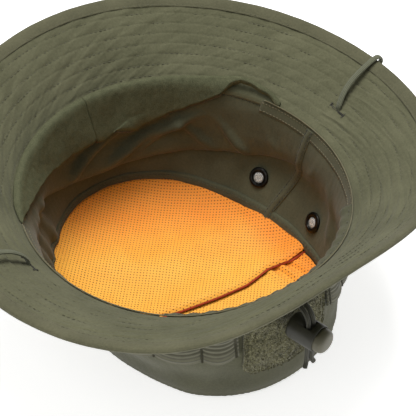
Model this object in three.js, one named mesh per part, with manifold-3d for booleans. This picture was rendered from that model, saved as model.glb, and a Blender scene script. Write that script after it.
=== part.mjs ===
// Boonie hat, lying on its crown with the head opening up.
// Millimetres. The flat crown top rests on z = 0, +Y is the front of the hat,
// +X is the wearer's left and -Y is the back, where the cord lock hangs.
// Angles are in degrees, counterclockwise from +X seen from above.

import * as THREE from 'three';
import { mergeVertices } from 'three/addons/utils/BufferGeometryUtils.js';
import Module from 'manifold-3d';

// ---- Driving dimensions ----

const HEAD_X = 90.3; // half the head opening, side to side
const HEAD_Y = 94.5; // half the head opening, front to back
const CROWN_HEIGHT = 81.8; // crown top to the seam where the brim starts
const TOP_SHIFT = [4.5, 1.3]; // the crown top lies a little off centre
const CLOTH = 1.1; // crown cloth, two plies
const GAP = 0.6; // clearance between sewn layers
const COLUMNS = 48; // facets around the hat
const FACET = 360 / COLUMNS;

// Crown wall from the top panel to the head opening: half width, half length, height.
const CROWN_PROFILE = [
  [67.5, 85.3, 1.8],
  [70.6, 88.3, 3.2],
  [71.9, 89.4, 6.5],
  [75.8, 91.2, 24],
  [83.0, 92.6, 44],
  [82.4, 90.8, 58],
  [85.6, 92.4, 72],
  [HEAD_X, HEAD_Y, CROWN_HEIGHT],
];

// The brim at every 45 degrees from +X: how far the head seam rises above its mean
// height, the brim's slope above horizontal, and how much the slope changes across it.
const BRIM_COMPASS = [
  [-2.6, 26, 0],
  [-1.6, 30, -4],
  [-0.8, 40, -15],
  [-2.0, 34, -18],
  [-0.6, 28, -13],
  [1.6, 31, -13],
  [7.0, 48, -14],
  [-0.3, 34, -9],
];
const BRIM_WIDTH = 54;
const BRIM_CLOTH = 0.8;
const BRIM_CORE = 0.7; // interlining
const BRIM_GAP = 0.4;
const BINDING_WIDTH = 8;
const BINDING_CLOTH = 0.65;

const SWEATBAND = { from: 22, seam: 90, to: 156, thickness: 2.4, ease: 3 };
const SWEATBAND_EDGE = { share: 0.12, thickness: 0.6 };
// How far the sweatband hangs below the head seam, at angles from its left end to its right.
const SWEATBAND_DROP = [
  [22, 5], [30, 5.5], [40, 9], [50, 15.5], [60, 21.5], [70, 24.5],
  [100, 24.5], [110, 23.5], [120, 21], [130, 17], [140, 12], [150, 7], [156, 5],
];
const TAPE = { height: 7, thickness: 0.6 };
const CHANNEL = { from: 223, to: 317, height: 12, bulge: 3.4, thickness: 0.7 };
const LINING = { x: 70.4, y: 88.0, z: 9.6, thickness: 0.8, overlap: 9 };
// Where the front lining panel tucks under the back one, from the right side to the left.
const LINING_FOLD = [[-90, 4], [-36, -4], [-13, -13], [20, -19], [45, -21], [90, -31]];

const EYELET = { angles: [16, -15, 164, 195], height: 28, hole: 3, barrel: 3.7, flange: 6.2 };
const PATCH = { x: [-29, 23], z: [28, 74], corner: 9, thickness: 1.8 };
const BAND = { drop: 3.6, height: 35, thickness: 1.6 };
const LOOP = { width: 3.6, thickness: 1.4, root: 14.5, bow: 5 };

const CORD = { diameter: 2.8, spread: 1.6, anchor: 229 };
const EXIT = { x: -4, height: 82.6, width: 7.4, tall: 3.9, end: -96.2 };
const LOCK = { y: -108.3, z: 66.5, tilt: 11.4, radius: 7.2, bore: 6.2, back: -11.5, mouth: 6 };
const PLUNGER = { radius: 5.8, inner: -6.2, outer: 11.5, travel: 4 };
const SPRING = { radius: 4.2, wire: 0.8, turns: 3 };

// Each adjuster cord's free tail: out of its exit, over, and down through the lock.
const TAIL_ROUTE = [
  [-97.7, 82.6], [-99.2, 82.6], [-100.9, 82.5], [-102.5, 82.1], [-104, 81.5],
  [-105.3, 80.5], [-106.4, 79.3], [-107.3, 77.8], [-107.9, 76.2], [-108.2, 74.6],
  [-108.3, 73], [-108.3, 70], [-108.3, 66], [-108.3, 62], [-108.3, 58],
  [-108.3, 54], [-108.3, 50], [-108.3, 46], [-108.3, 42.5],
];

// ---- Solids ----

const wasm = await Module();
wasm.setup();

const radians = THREE.MathUtils.degToRad;
const vector = (x, y, z) => new THREE.Vector3(x, y, z);

/** Faces the triangles outward, whichever way round they were listed. */
function facingOut(geometry) {
  const position = geometry.attributes.position;
  const index = geometry.index.array;
  const corner = (i) => new THREE.Vector3().fromBufferAttribute(position, index[i]);
  let volume = 0;
  for (let i = 0; i < index.length; i += 3) {
    volume += corner(i).dot(corner(i + 1).cross(corner(i + 2)));
  }
  if (volume < 0) {
    for (let i = 0; i < index.length; i += 3) {
      [index[i + 1], index[i + 2]] = [index[i + 2], index[i + 1]];
    }
  }
  geometry.computeVertexNormals();
  return geometry;
}

/**
 * A closed solid through a row of sections. Each section is a loop that runs along one
 * face and back along the other, so its ends are closed by joining the two faces. Both
 * faces split their quads the same way, which keeps neighbouring layers parallel.
 */
function loft(sections, closed) {
  const size = sections[0].length;
  const index = [];
  const strips = closed ? sections.length : sections.length - 1;
  for (let i = 0; i < strips; i += 1) {
    const next = ((i + 1) % sections.length) * size;
    for (let j = 0; j < size; j += 1) {
      const k = (j + 1) % size;
      const [a, b, c, d] = [i * size + j, next + j, next + k, i * size + k];
      if (j < size / 2) index.push(a, b, c, a, c, d);
      else index.push(a, b, d, b, c, d);
    }
  }
  if (!closed) {
    const last = (sections.length - 1) * size;
    for (let j = 0; j < size / 2 - 1; j += 1) {
      const k = size - 1 - j;
      index.push(j, j + 1, k - 1, j, k - 1, k);
      index.push(last + j, last + k - 1, last + j + 1, last + j, last + k, last + k - 1);
    }
  }
  const geometry = new THREE.BufferGeometry().setFromPoints(sections.flat());
  geometry.setIndex(index);
  return facingOut(geometry);
}

/** A solid for joining and cutting, from any closed geometry. */
function solid(geometry) {
  const bare = geometry.clone();
  bare.deleteAttribute('normal');
  bare.deleteAttribute('uv');
  const merged = mergeVertices(bare, 1e-3);
  return new wasm.Manifold(new wasm.Mesh({
    numProp: 3,
    vertProperties: new Float32Array(merged.attributes.position.array),
    triVerts: new Uint32Array(merged.index.array),
  }));
}

function geometryOf(manifold) {
  const mesh = manifold.getMesh();
  const geometry = new THREE.BufferGeometry();
  geometry.setAttribute('position', new THREE.BufferAttribute(mesh.vertProperties, 3));
  geometry.setIndex(new THREE.BufferAttribute(mesh.triVerts, 1));
  geometry.computeVertexNormals();
  return geometry;
}

/** A round tube along a curve. */
function tube(curve, diameter, steps, sides = 8) {
  const section = new THREE.Shape();
  for (let i = 0; i < sides; i += 1) {
    const turn = (i / sides) * Math.PI * 2;
    const move = i === 0 ? 'moveTo' : 'lineTo';
    section[move](Math.cos(turn) * diameter / 2, Math.sin(turn) * diameter / 2);
  }
  section.closePath();
  return new THREE.ExtrudeGeometry(section, { steps, extrudePath: curve, bevelEnabled: false });
}

// ---- The hat's two surfaces ----

const compassCurve = new THREE.CatmullRomCurve3(
  BRIM_COMPASS.map(([lift, slope, curl]) => vector(lift, slope, curl)), true, 'catmullrom');
const profileCurve = new THREE.CatmullRomCurve3(
  CROWN_PROFILE.map(([x, y, z]) => vector(x, y, z)), false, 'centripetal');

const turnOf = (angle) => (((angle % 360) + 360) % 360) / 360;
const compass = (angle) => compassCurve.getPoint(turnOf(angle));

/** A point of the crown wall's outer face; course runs from 0 at the top panel to 1. */
function crownPoint(angle, course) {
  const ring = profileCurve.getPoint(course);
  const rise = ring.z / CROWN_HEIGHT;
  const turn = radians(angle);
  return vector(
    TOP_SHIFT[0] * (1 - rise) + ring.x * Math.cos(turn),
    TOP_SHIFT[1] * (1 - rise) + ring.y * Math.sin(turn),
    ring.z + compass(angle).x * rise * rise);
}

/** A point of the brim's middle surface, so many millimetres out from the head seam. */
function brimPoint(angle, along) {
  const { y: slope, z: curl } = compass(angle);
  const seam = crownPoint(angle, 1);
  const turn = radians(angle);
  const out = vector(Math.cos(turn) / HEAD_X, Math.sin(turn) / HEAD_Y, 0).normalize();
  const steps = 12;
  for (let i = 0; i < steps; i += 1) {
    const at = (i + 0.5) * along / steps;
    const local = radians(slope + curl * (2 * at / BRIM_WIDTH - 1));
    seam.addScaledVector(out, Math.cos(local) * along / steps);
    seam.z += Math.sin(local) * along / steps;
  }
  return seam;
}

/** The normal of either surface, outward on the crown and down on the brim. */
function normalOf(surface, angle, along, step) {
  const low = Math.max(along - step, 0);
  const high = surface === crownPoint ? Math.min(along + step, 1) : along + step;
  const around = surface(angle + 0.2, along).sub(surface(angle - 0.2, along));
  const across = surface(angle, high).sub(surface(angle, low));
  return around.cross(across).normalize();
}

const onCrown = (angle, course, out) =>
  crownPoint(angle, course).addScaledVector(normalOf(crownPoint, angle, course, 0.004), out);
const onBrim = (angle, along, above) =>
  brimPoint(angle, along).addScaledVector(normalOf(brimPoint, angle, along, 0.4), -above);

/** The course at which the crown wall has this height, at one angle. */
function courseAt(angle, height) {
  let low = 0;
  let high = 1;
  for (let i = 0; i < 24; i += 1) {
    const middle = (low + high) / 2;
    if (crownPoint(angle, middle).z < height) low = middle;
    else high = middle;
  }
  return low;
}

const headHeight = (angle) => crownPoint(angle, 1).z;

/** Angles from one side to the other, about a facet apart. */
function anglesBetween(from, to) {
  const count = Math.max(1, Math.round((to - from) / FACET));
  return Array.from({ length: count + 1 }, (_, i) => from + (to - from) * i / count);
}

const allAngles = Array.from({ length: COLUMNS }, (_, i) => i * FACET);

/** A layer of cloth on the crown wall: between two heights and two distances out. */
function crownLayer(angles, closed, heights, near, far) {
  return loft(angles.map((angle) => {
    const courses = heights(angle);
    const last = courses.length - 1;
    const face = (out) => courses.map((course, i) => onCrown(angle, course, out(i / last)));
    return [...face(near), ...face(far).reverse()];
  }), closed);
}

/** Rows of the crown wall at equal steps between two heights above z = 0. */
const rowsBetween = (low, high, rows) => (angle) => Array.from({ length: rows + 1 }, (_, i) => {
  const bottom = typeof low === 'function' ? low(angle) : low;
  const top = typeof high === 'function' ? high(angle) : high;
  return courseAt(angle, bottom + (top - bottom) * i / rows);
});

const belowHead = (drop) => (angle) => headHeight(angle) - drop;
const constant = (value) => () => value;

// ---- Materials ----

const materials = {};
function material(name, color, roughness, metalness = 0) {
  materials[name] = { color, roughness, metalness };
}
material('crown_cloth', 0x605f4a, 0.85);
material('brim_cloth', 0x656450, 0.85);
material('brim_underside', 0x57563f, 0.88);
material('interlining', 0x4c4a3a, 0.9);
material('fleece', 0x3b3b29, 1);
material('edge_tape', 0x4a4330, 0.9);
material('orange_mesh', 0xeca545, 0.7);
material('loop_pile', 0x56543c, 1);
material('webbing', 0x5a5946, 0.85);
material('elastic', 0x6e6d58, 0.8);
material('cord', 0x34332a, 0.8);
material('lock_plastic', 0x2e2d20, 0.5);
material('plunger_plastic', 0x4d4b3a, 0.5);
material('black_brass', 0x24221f, 0.4, 0.7);
material('steel_screen', 0x757370, 0.5, 0.6);
material('spring_steel', 0x9a9a98, 0.35, 1);

const hat = new THREE.Group();

function add(name, finish, geometry) {
  const mesh = new THREE.Mesh(geometry, new THREE.MeshStandardMaterial(materials[finish]));
  mesh.name = name;
  hat.add(mesh);
  return mesh;
}

// ---- Crown ----

/** A flat elliptical plate centred under the crown. */
function ellipsePlate(halfX, halfY, bottom, thickness) {
  const outline = new THREE.Shape();
  outline.absellipse(0, 0, halfX, halfY, 0, Math.PI * 2);
  const plate = new THREE.ExtrudeGeometry(outline, {
    depth: thickness, bevelEnabled: false, curveSegments: COLUMNS / 2,
  });
  return plate.translate(TOP_SHIFT[0], TOP_SHIFT[1], bottom);
}

function addCrownTop() {
  const [halfX, halfY] = CROWN_PROFILE[0];
  add('crown_top_panel', 'crown_cloth', ellipsePlate(halfX + 0.8, halfY + 0.8, 0, CLOTH));
}

function eyeletFrame(angle) {
  const course = courseAt(angle, EYELET.height);
  const axis = normalOf(crownPoint, angle, course, 0.004);
  const turn = new THREE.Quaternion().setFromUnitVectors(vector(0, 1, 0), axis);
  return { centre: crownPoint(angle, course), turn };
}

/** Turns a lathed piece, drawn along +Y, onto the crown wall at an eyelet. */
function placeAtEyelet(geometry, angle) {
  const { centre, turn } = eyeletFrame(angle);
  return geometry.applyQuaternion(turn).translate(centre.x, centre.y, centre.z);
}

// The opening for the adjuster cords lies a little right of the back's middle.
const exitAngle = 270 + THREE.MathUtils.radToDeg(EXIT.x / HEAD_X);
const exitOpening = () =>
  new THREE.BoxGeometry(EXIT.width, 30, EXIT.tall).translate(EXIT.x, -HEAD_Y, EXIT.height);

function crownWall(from, to) {
  const courses = [0, 0.12, 0.28, 0.43, 0.57, 0.67, 0.76, 0.87];
  const heights = (angle) => [...courses, courseAt(angle, headHeight(angle) - 1.9)];
  const wall = crownLayer(anglesBetween(from, to), false, heights,
    constant(0), constant(-CLOTH));
  return EYELET.angles.reduce((left, angle) => {
    const drill = new THREE.CylinderGeometry(EYELET.barrel + 0.45, EYELET.barrel + 0.45, 12, 14);
    return left.subtract(solid(placeAtEyelet(drill, angle)));
  }, solid(wall));
}

function addCrownWalls() {
  const seam = 0.15;
  add('crown_wall_front', 'crown_cloth', geometryOf(crownWall(seam, 180 - seam)));
  const back = crownWall(180 + seam, 360 - seam).subtract(solid(exitOpening()));
  add('crown_wall_back', 'crown_cloth', geometryOf(back));
}

/** The felled side seams, as a strip inside each one. */
function addSideSeams() {
  const width = 3.2;
  const inside = CLOTH + GAP;
  for (const [side, angle] of [['left', 0], ['right', 180]]) {
    const strip = crownLayer([angle - width, angle, angle + width], false,
      rowsBetween(17, belowHead(TAPE.height + 1.5), 6), constant(-inside), constant(-inside - 0.7));
    add(`side_seam_fell_${side}`, 'crown_cloth', strip);
  }
}

/** Two-part metal eyelets: a grommet through the wall, a washer inside it and a woven screen. */
function addEyelets() {
  const { hole, barrel, flange } = EYELET;
  const screen = [[0, -0.9], [hole - 0.15, -0.9], [hole - 0.15, -0.5], [0, -0.5], [0, -0.9]];
  const grommet = [
    [hole, -2.9], [barrel, -2.9], [barrel, 0.5], [flange, 0.5],
    [flange - 0.3, 1], [(barrel + flange) / 2, 1.3], [hole, 1.1], [hole, -2.9],
  ];
  const washer = [
    [barrel + 0.4, -2.5], [flange - 0.4, -2.5], [flange, -2], [barrel + 0.4, -2],
    [barrel + 0.4, -2.5],
  ];
  const lathe = (points) =>
    new THREE.LatheGeometry(points.map(([r, s]) => new THREE.Vector2(r, s)), 14);
  const names = ['left_front', 'left_back', 'right_front', 'right_back'];
  names.forEach((name, i) => {
    const angle = EYELET.angles[i];
    add(`eyelet_grommet_${name}`, 'black_brass', placeAtEyelet(lathe(grommet), angle));
    add(`eyelet_washer_${name}`, 'black_brass', placeAtEyelet(lathe(washer), angle));
    add(`eyelet_screen_${name}`, 'steel_screen', placeAtEyelet(lathe(screen), angle));
  });
}

// ---- Lining ----

function addLining() {
  const plate = (bottom) =>
    solid(ellipsePlate(LINING.x, LINING.y, bottom, LINING.thickness));
  const beyond = 120;
  const halfPlane = (side, shift) => {
    const edge = LINING_FOLD.map(([x, y]) => new THREE.Vector2(x, y + shift));
    const outline = new THREE.Shape([
      ...edge, new THREE.Vector2(90, side * beyond), new THREE.Vector2(-90, side * beyond),
    ]);
    return solid(new THREE.ExtrudeGeometry(outline, { depth: 30, bevelEnabled: false }));
  };
  const front = plate(LINING.z).intersect(halfPlane(1, -LINING.overlap));
  const back = plate(LINING.z + LINING.thickness + 0.8).intersect(halfPlane(-1, 0));
  add('mesh_lining_front', 'orange_mesh', geometryOf(front));
  add('mesh_lining_back', 'orange_mesh', geometryOf(back));
  const inside = CLOTH + GAP;
  add('lining_seam_binding', 'edge_tape', crownLayer(allAngles, true,
    rowsBetween(12.6, 15.8, 1), constant(-inside), constant(-inside - 0.6)));
}

// ---- Sweatband, seam tape and adjuster channel ----

function sweatbandDrop(angle) {
  const i = Math.max(1, SWEATBAND_DROP.findIndex(([at]) => at >= angle));
  const [[from, near], [to, far]] = SWEATBAND_DROP.slice(i - 1, i + 1);
  return near + (far - near) * (angle - from) / (to - from);
}

/** The brushed front band hangs from the head seam and stands off the wall below. */
function addSweatband() {
  const top = 0.6;
  const inside = CLOTH + GAP;
  const outer = (v) => -inside - SWEATBAND.ease * (1 - v) ** 2;
  const inner = (v) => outer(v) - SWEATBAND.thickness;
  const edgeNear = (v) => inner(v * SWEATBAND_EDGE.share) - GAP;
  const edgeFar = (v) => edgeNear(v) - SWEATBAND_EDGE.thickness;
  const bottomAt = (share) => (angle) => {
    const drop = sweatbandDrop(angle);
    return headHeight(angle) - drop + (drop - top) * share;
  };
  const { from, seam, to } = SWEATBAND;
  for (const [side, start, end] of [['left', from, seam - 0.2], ['right', seam + 0.2, to]]) {
    const angles = anglesBetween(start, end);
    add(`sweatband_${side}`, 'fleece', crownLayer(angles, false,
      rowsBetween(bottomAt(0), belowHead(top), 4), outer, inner));
    add(`sweatband_edge_${side}`, 'edge_tape', crownLayer(angles, false,
      rowsBetween(bottomAt(0), bottomAt(SWEATBAND_EDGE.share), 1), edgeNear, edgeFar));
  }
}

function addHeadTapes() {
  const inside = CLOTH + GAP;
  const spans = { left: [CHANNEL.to + 1 - 360, SWEATBAND.from - 1],
    right: [SWEATBAND.to + 1, CHANNEL.from - 1] };
  for (const [side, [from, to]] of Object.entries(spans)) {
    add(`head_seam_tape_${side}`, 'brim_cloth', crownLayer(anglesBetween(from, to), false,
      rowsBetween(belowHead(TAPE.height), belowHead(0.6), 1),
      constant(-inside), constant(-inside - TAPE.thickness)));
  }
}

/** The cloth tunnel at the back that the adjuster cords run in. */
function addChannel() {
  const inside = CLOTH + GAP;
  const near = (v) => -inside - CHANNEL.bulge * Math.sin(Math.PI * v);
  const far = (v) => near(v) - CHANNEL.thickness;
  add('adjuster_channel', 'crown_cloth', crownLayer(
    anglesBetween(CHANNEL.from, CHANNEL.to), false,
    rowsBetween(belowHead(CHANNEL.height), belowHead(0.6), 4), near, far));
}

// ---- Brim ----

/** A layer of the brim between two heights above its middle, stopping short at each edge. */
function brimLayer(inset, low, high) {
  const seat = BRIM_WIDTH - BINDING_WIDTH;
  const rows = [inset, seat / 3, seat * 2 / 3, seat, BRIM_WIDTH - inset - 0.7];
  return loft(allAngles.map((angle) => {
    const face = (above) => rows.map((along) => onBrim(angle, along, above));
    return [...face(low), ...face(high).reverse()];
  }), true);
}

function addBrim() {
  const core = BRIM_CORE / 2;
  const near = core + BRIM_GAP;
  const far = near + BRIM_CLOTH;
  add('brim_interlining', 'interlining', brimLayer(1.6, -core, core));
  add('brim_inner_panel', 'brim_cloth', brimLayer(0.6, near, far));
  add('brim_outer_panel', 'brim_underside', brimLayer(0.6, -far, -near));
  const seat = far + BRIM_GAP;
  const skin = seat + BINDING_CLOTH;
  const section = [
    [-BINDING_WIDTH, skin], [-0.5, skin - 0.2], [0, 0], [-0.5, 0.2 - skin],
    [-BINDING_WIDTH, -skin], [-BINDING_WIDTH, -seat], [-1, -seat], [-0.7, 0], [-1, seat],
    [-BINDING_WIDTH, seat],
  ];
  add('brim_edge_binding', 'brim_cloth', loft(allAngles.map((angle) =>
    section.map(([along, above]) => onBrim(angle, BRIM_WIDTH + along, above))), true));
}

/** Elastic loops from a slit near the head seam, over the brim's edge and back under it. */
function addBrimLoops() {
  const { root, bow, width, thickness } = LOOP;
  const standoff = BRIM_CORE / 2 + BRIM_GAP * 2 + BRIM_CLOTH + BINDING_CLOTH + 1.3;
  const route = [
    [root, standoff], [root + 5, standoff + bow * 0.6], [BRIM_WIDTH * 0.6, standoff + bow],
    [BRIM_WIDTH - 5, standoff + bow * 0.4], [BRIM_WIDTH + 1, standoff - 1],
    [BRIM_WIDTH + 3, 0], [BRIM_WIDTH + 1, 1 - standoff], [BRIM_WIDTH - 5, -standoff - 0.6],
    [BRIM_WIDTH * 0.6, -standoff - 2], [root + 5, -standoff - 1], [root, -standoff],
  ];
  for (const [side, angle] of [['left', 0], ['right', 178]]) {
    const line = new THREE.CatmullRomCurve3(
      route.map(([along, above]) => onBrim(angle, along, above)));
    const around = vector(-Math.sin(radians(angle)), Math.cos(radians(angle)), 0);
    const steps = 22;
    add(`brim_loop_${side}`, 'elastic', loft(Array.from({ length: steps + 1 }, (_, i) => {
      const centre = line.getPointAt(i / steps);
      const across = line.getTangentAt(i / steps).cross(around).normalize();
      const corner = (u, v) => centre.clone()
        .addScaledVector(around, u * width / 2).addScaledVector(across, v * thickness / 2);
      return [corner(-1, -1), corner(1, -1), corner(1, 1), corner(-1, 1)];
    }), false));
    const low = BRIM_CORE / 2 + BRIM_GAP * 2 + BRIM_CLOTH;
    const turnPerMillimetre = 180 / Math.PI / HEAD_X;
    add(`loop_bartack_${side}`, 'edge_tape', loft([-5, 0, 5].map((shift) => {
      const at = angle + shift * turnPerMillimetre;
      return [onBrim(at, root - 2.6, low), onBrim(at, root - 1, low),
        onBrim(at, root - 1, low + 0.7), onBrim(at, root - 2.6, low + 0.7)];
    }), false));
  }
}

// ---- Outside of the crown ----

function roundedPrism([x0, x1], [z0, z1], corner) {
  const shape = new THREE.Shape();
  shape.moveTo(x0 + corner, z0);
  shape.lineTo(x1 - corner, z0);
  shape.quadraticCurveTo(x1, z0, x1, z0 + corner);
  shape.lineTo(x1, z1 - corner);
  shape.quadraticCurveTo(x1, z1, x1 - corner, z1);
  shape.lineTo(x0 + corner, z1);
  shape.quadraticCurveTo(x0, z1, x0, z1 - corner);
  shape.lineTo(x0, z0 + corner);
  shape.quadraticCurveTo(x0, z0, x0 + corner, z0);
  const prism = new THREE.ExtrudeGeometry(shape, {
    depth: 60, bevelEnabled: false, curveSegments: 4,
  });
  return prism.rotateX(Math.PI / 2).translate(0, -60, 0);
}

function addPatch() {
  const layer = crownLayer(anglesBetween(246, 288), false,
    rowsBetween(PATCH.z[0] - 2, PATCH.z[1] + 2, 5),
    constant(GAP), constant(GAP + PATCH.thickness));
  const outline = solid(roundedPrism(PATCH.x, PATCH.z, PATCH.corner));
  add('patch_panel_back', 'loop_pile', geometryOf(solid(layer).intersect(outline)));
}

/** The foliage band: webbing sewn down at intervals, from the patch round to the front. */
function addFoliageBands() {
  const spans = { left: [288, 449.6], right: [90.4, 246.6] };
  for (const [side, [from, to]] of Object.entries(spans)) {
    add(`foliage_band_${side}`, 'webbing', crownLayer(anglesBetween(from, to), false,
      rowsBetween(belowHead(BAND.drop + BAND.height), belowHead(BAND.drop), 4),
      constant(GAP), constant(GAP + BAND.thickness)));
  }
}

function addExitPatch() {
  const layer = crownLayer(anglesBetween(exitAngle - 4.2, exitAngle + 4.2), false,
    rowsBetween(EXIT.height - 5, EXIT.height + 3.6, 3), constant(GAP), constant(GAP + 0.7));
  const cut = solid(layer).subtract(solid(exitOpening()));
  add('cord_exit_patch', 'crown_cloth', geometryOf(cut));
}

// ---- Adjuster cords and lock ----

function addCords() {
  const { diameter, spread, anchor } = CORD;
  const middle = CHANNEL.height / 2 + 0.3;
  const depth = CLOTH + GAP + diameter / 2 + 0.2;
  for (const [side, sign] of [['left', 1], ['right', -1]]) {
    const inChannel = [anchor, 234, 240, 246, 252, 258, 262.5, 266].map((angle) => {
      const at = exitAngle + sign * (270 - angle);
      return onCrown(at, courseAt(at, headHeight(at) - middle), -depth);
    });
    const last = inChannel[inChannel.length - 1];
    const turnOut = [
      vector(EXIT.x + sign * (spread + 1.2), last.y - 0.9, EXIT.height),
      vector(EXIT.x + sign * spread, last.y - 2.8, EXIT.height),
      vector(EXIT.x + sign * spread, EXIT.end, EXIT.height),
    ];
    const inner = new THREE.CatmullRomCurve3([...inChannel, ...turnOut], false, 'centripetal');
    add(`adjuster_cord_inner_${side}`, 'cord', tube(inner, diameter, 20));
    const tail = new THREE.CatmullRomCurve3(
      TAIL_ROUTE.map(([y, z]) => vector(EXIT.x + sign * spread, y, z)), false, 'centripetal');
    add(`adjuster_cord_tail_${side}`, 'cord', tube(tail, diameter, 12));
  }
}

/** Puts a piece drawn along +Y, with the cords passing at its origin, onto the cords. */
function placeAtLock(geometry) {
  return geometry.rotateZ(Math.PI + radians(LOCK.tilt)).translate(EXIT.x, LOCK.y, LOCK.z);
}

function cordSlot(from, to) {
  const half = CORD.spread + CORD.diameter / 2 + 0.5;
  return solid(new THREE.BoxGeometry(half * 2, to - from, 40).translate(0, (from + to) / 2, 0));
}

function addLock() {
  const { radius, bore, back, mouth } = LOCK;
  const lathe = (points) =>
    new THREE.LatheGeometry(points.map(([r, s]) => new THREE.Vector2(r, s)), 20);
  const edge = CORD.diameter / 2 + 0.75;
  const barrel = lathe([
    [0, back], [radius - 1, back], [radius - 0.3, back + 0.3], [radius, back + 1],
    [radius, mouth - 0.5], [radius - 0.5, mouth], [bore, mouth], [bore, back + 0.9],
    [0, back + 0.9],
  ]);
  const barrelCut = solid(barrel).subtract(cordSlot(-edge, edge));
  add('cord_lock_barrel', 'lock_plastic', placeAtLock(geometryOf(barrelCut)));

  const { radius: r, inner, outer, travel } = PLUNGER;
  const plunger = lathe([
    [0, inner], [r, inner], [r, outer - 2.6], [r - 0.5, outer - 1.3], [r - 1.6, outer - 0.5],
    [r - 3.2, outer - 0.1], [0, outer],
  ]);
  const plungerCut = solid(plunger).subtract(cordSlot(-edge, edge + travel + 0.2));
  add('cord_lock_plunger', 'plunger_plastic', placeAtLock(geometryOf(plungerCut)));

  const floor = back + 0.9;
  const coil = new THREE.CatmullRomCurve3(Array.from({ length: SPRING.turns * 10 + 1 }, (_, i) => {
    const turn = (i / 10) * Math.PI * 2;
    const start = floor + SPRING.wire / 2 + 0.3;
    const end = inner - SPRING.wire / 2 - 0.3;
    return vector(SPRING.radius * Math.cos(turn),
      start + (end - start) * i / (SPRING.turns * 10), SPRING.radius * Math.sin(turn));
  }));
  add('cord_lock_spring', 'spring_steel', placeAtLock(tube(coil, SPRING.wire, 26, 5)));
}

addCrownTop();
addCrownWalls();
addSideSeams();
addEyelets();
addLining();
addSweatband();
addHeadTapes();
addChannel();
addBrim();
addBrimLoops();
addPatch();
addFoliageBands();
addExitPatch();
addCords();
addLock();

export default hat;
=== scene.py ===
"""The look of the boonie hat: cloth, stitching, mesh lining, webbing, eyelets and cord lock.

Shapes are worked out in millimetres and made in metres. Angles are in degrees,
counterclockwise from +X seen from above; the hat lies on its crown, +Z up.
"""

import math

import bmesh
import bpy
import numpy as np
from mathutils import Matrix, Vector


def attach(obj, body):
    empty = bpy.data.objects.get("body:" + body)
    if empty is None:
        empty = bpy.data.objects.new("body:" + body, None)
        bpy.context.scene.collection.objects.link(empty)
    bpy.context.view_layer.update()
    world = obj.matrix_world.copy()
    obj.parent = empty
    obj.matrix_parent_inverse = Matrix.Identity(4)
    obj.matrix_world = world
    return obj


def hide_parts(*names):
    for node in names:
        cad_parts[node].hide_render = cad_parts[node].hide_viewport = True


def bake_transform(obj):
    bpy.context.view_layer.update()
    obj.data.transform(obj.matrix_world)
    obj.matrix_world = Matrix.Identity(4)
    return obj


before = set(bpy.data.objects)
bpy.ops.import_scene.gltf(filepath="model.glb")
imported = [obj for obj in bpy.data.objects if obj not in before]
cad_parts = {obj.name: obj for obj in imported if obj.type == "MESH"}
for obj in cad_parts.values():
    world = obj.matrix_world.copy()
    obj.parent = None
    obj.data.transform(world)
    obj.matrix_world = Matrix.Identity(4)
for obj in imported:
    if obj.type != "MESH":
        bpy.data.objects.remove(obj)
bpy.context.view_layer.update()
MM = 0.001

# ---- Driving dimensions, in millimetres ----

HEAD = (90.3, 94.5)           # half the head opening: side to side, front to back
CROWN_HEIGHT = 81.8
TOP_SHIFT = (4.5, 1.3)        # the crown top lies a little off centre
BRIM_WIDTH = 54.0
CLOTH = 1.1
CROWN_PROFILE = np.array([    # height, half width, half length
    (1.8, 67.5, 85.3), (3.2, 70.6, 88.3), (6.5, 71.9, 89.4), (24, 75.8, 91.2),
    (44, 83.0, 92.6), (58, 82.4, 90.8), (72, 85.6, 92.4), (CROWN_HEIGHT, *HEAD)])
BRIM_COMPASS = np.array([     # lift, slope, curl every 45 degrees
    (-2.6, 26, 0), (-1.6, 30, -4), (-0.8, 40, -15), (-2.0, 34, -18),
    (-0.6, 28, -13), (1.6, 31, -13), (7.0, 48, -14), (-0.3, 34, -9)])
BRIM_TOP = 1.45               # the brim's two faces, above its middle
BRIM_BOTTOM = -0.55
BINDING = 8.0
STITCH_ROWS = 7
ROW_PITCH = 6.2
STAND_OFF = 0.75              # from the wall's face to what is sewn on outside it
PATCH = {"x": (-29, 23), "z": (28, 74), "corner": 9, "thick": 1.8}
BAND = {"drop": 3.6, "height": 35, "thick": 1.3}
EYELETS = {"left_front": 16, "left_back": -15, "right_front": 164, "right_back": 195}
EYELET_HEIGHT = 28
SWEATBAND = {"from": 14, "seam": 90, "to": 156.5, "thick": 2.6}
# How far the sweatband hangs below the head seam at angles from its left end to its
# right; at the left end it pulls away from the seam, up over the brim's root.
SWEATBAND_DROP = np.array([
    (14, 0), (22, -2.5), (30, -4), (35, 1), (40, 7), (50, 14.5), (60, 20.5), (70, 23.5),
    (80, 24), (90, 23), (100, 23), (110, 22.5), (120, 20.5), (130, 16.5), (140, 11.5),
    (150, 4.5), (156, 0)], float)
CHANNEL = {"from": 223, "to": 317, "height": 12, "bulge": 3.4}
EXIT = {"x": -4, "width": 7.4, "tall": 3.9, "z": 82.6}
LOCK_AT = (EXIT["x"], -108.3, 66.5)
LOCK_TILT = math.radians(11.4)
CORD_SPREAD = 1.6             # from the lock's middle to each cord's
CORD_WIDTH = 2.8
# A cord's free tail, out of its exit, over, and down through the lock: y and z.
TAIL_ROUTE = [
    (-96.4, 82.6), (-97.7, 82.6), (-99.2, 82.6), (-100.9, 82.5), (-102.5, 82.1),
    (-104, 81.5), (-105.3, 80.5), (-106.4, 79.3), (-107.3, 77.8), (-107.9, 76.2),
    (-108.2, 74.6), (-108.3, 73), (-108.3, 70), (-108.3, 66), (-108.3, 62),
    (-108.3, 58), (-108.3, 54), (-108.3, 50), (-108.3, 46), (-108.3, 42.6)]


# ---- The hat's surfaces ----

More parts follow.
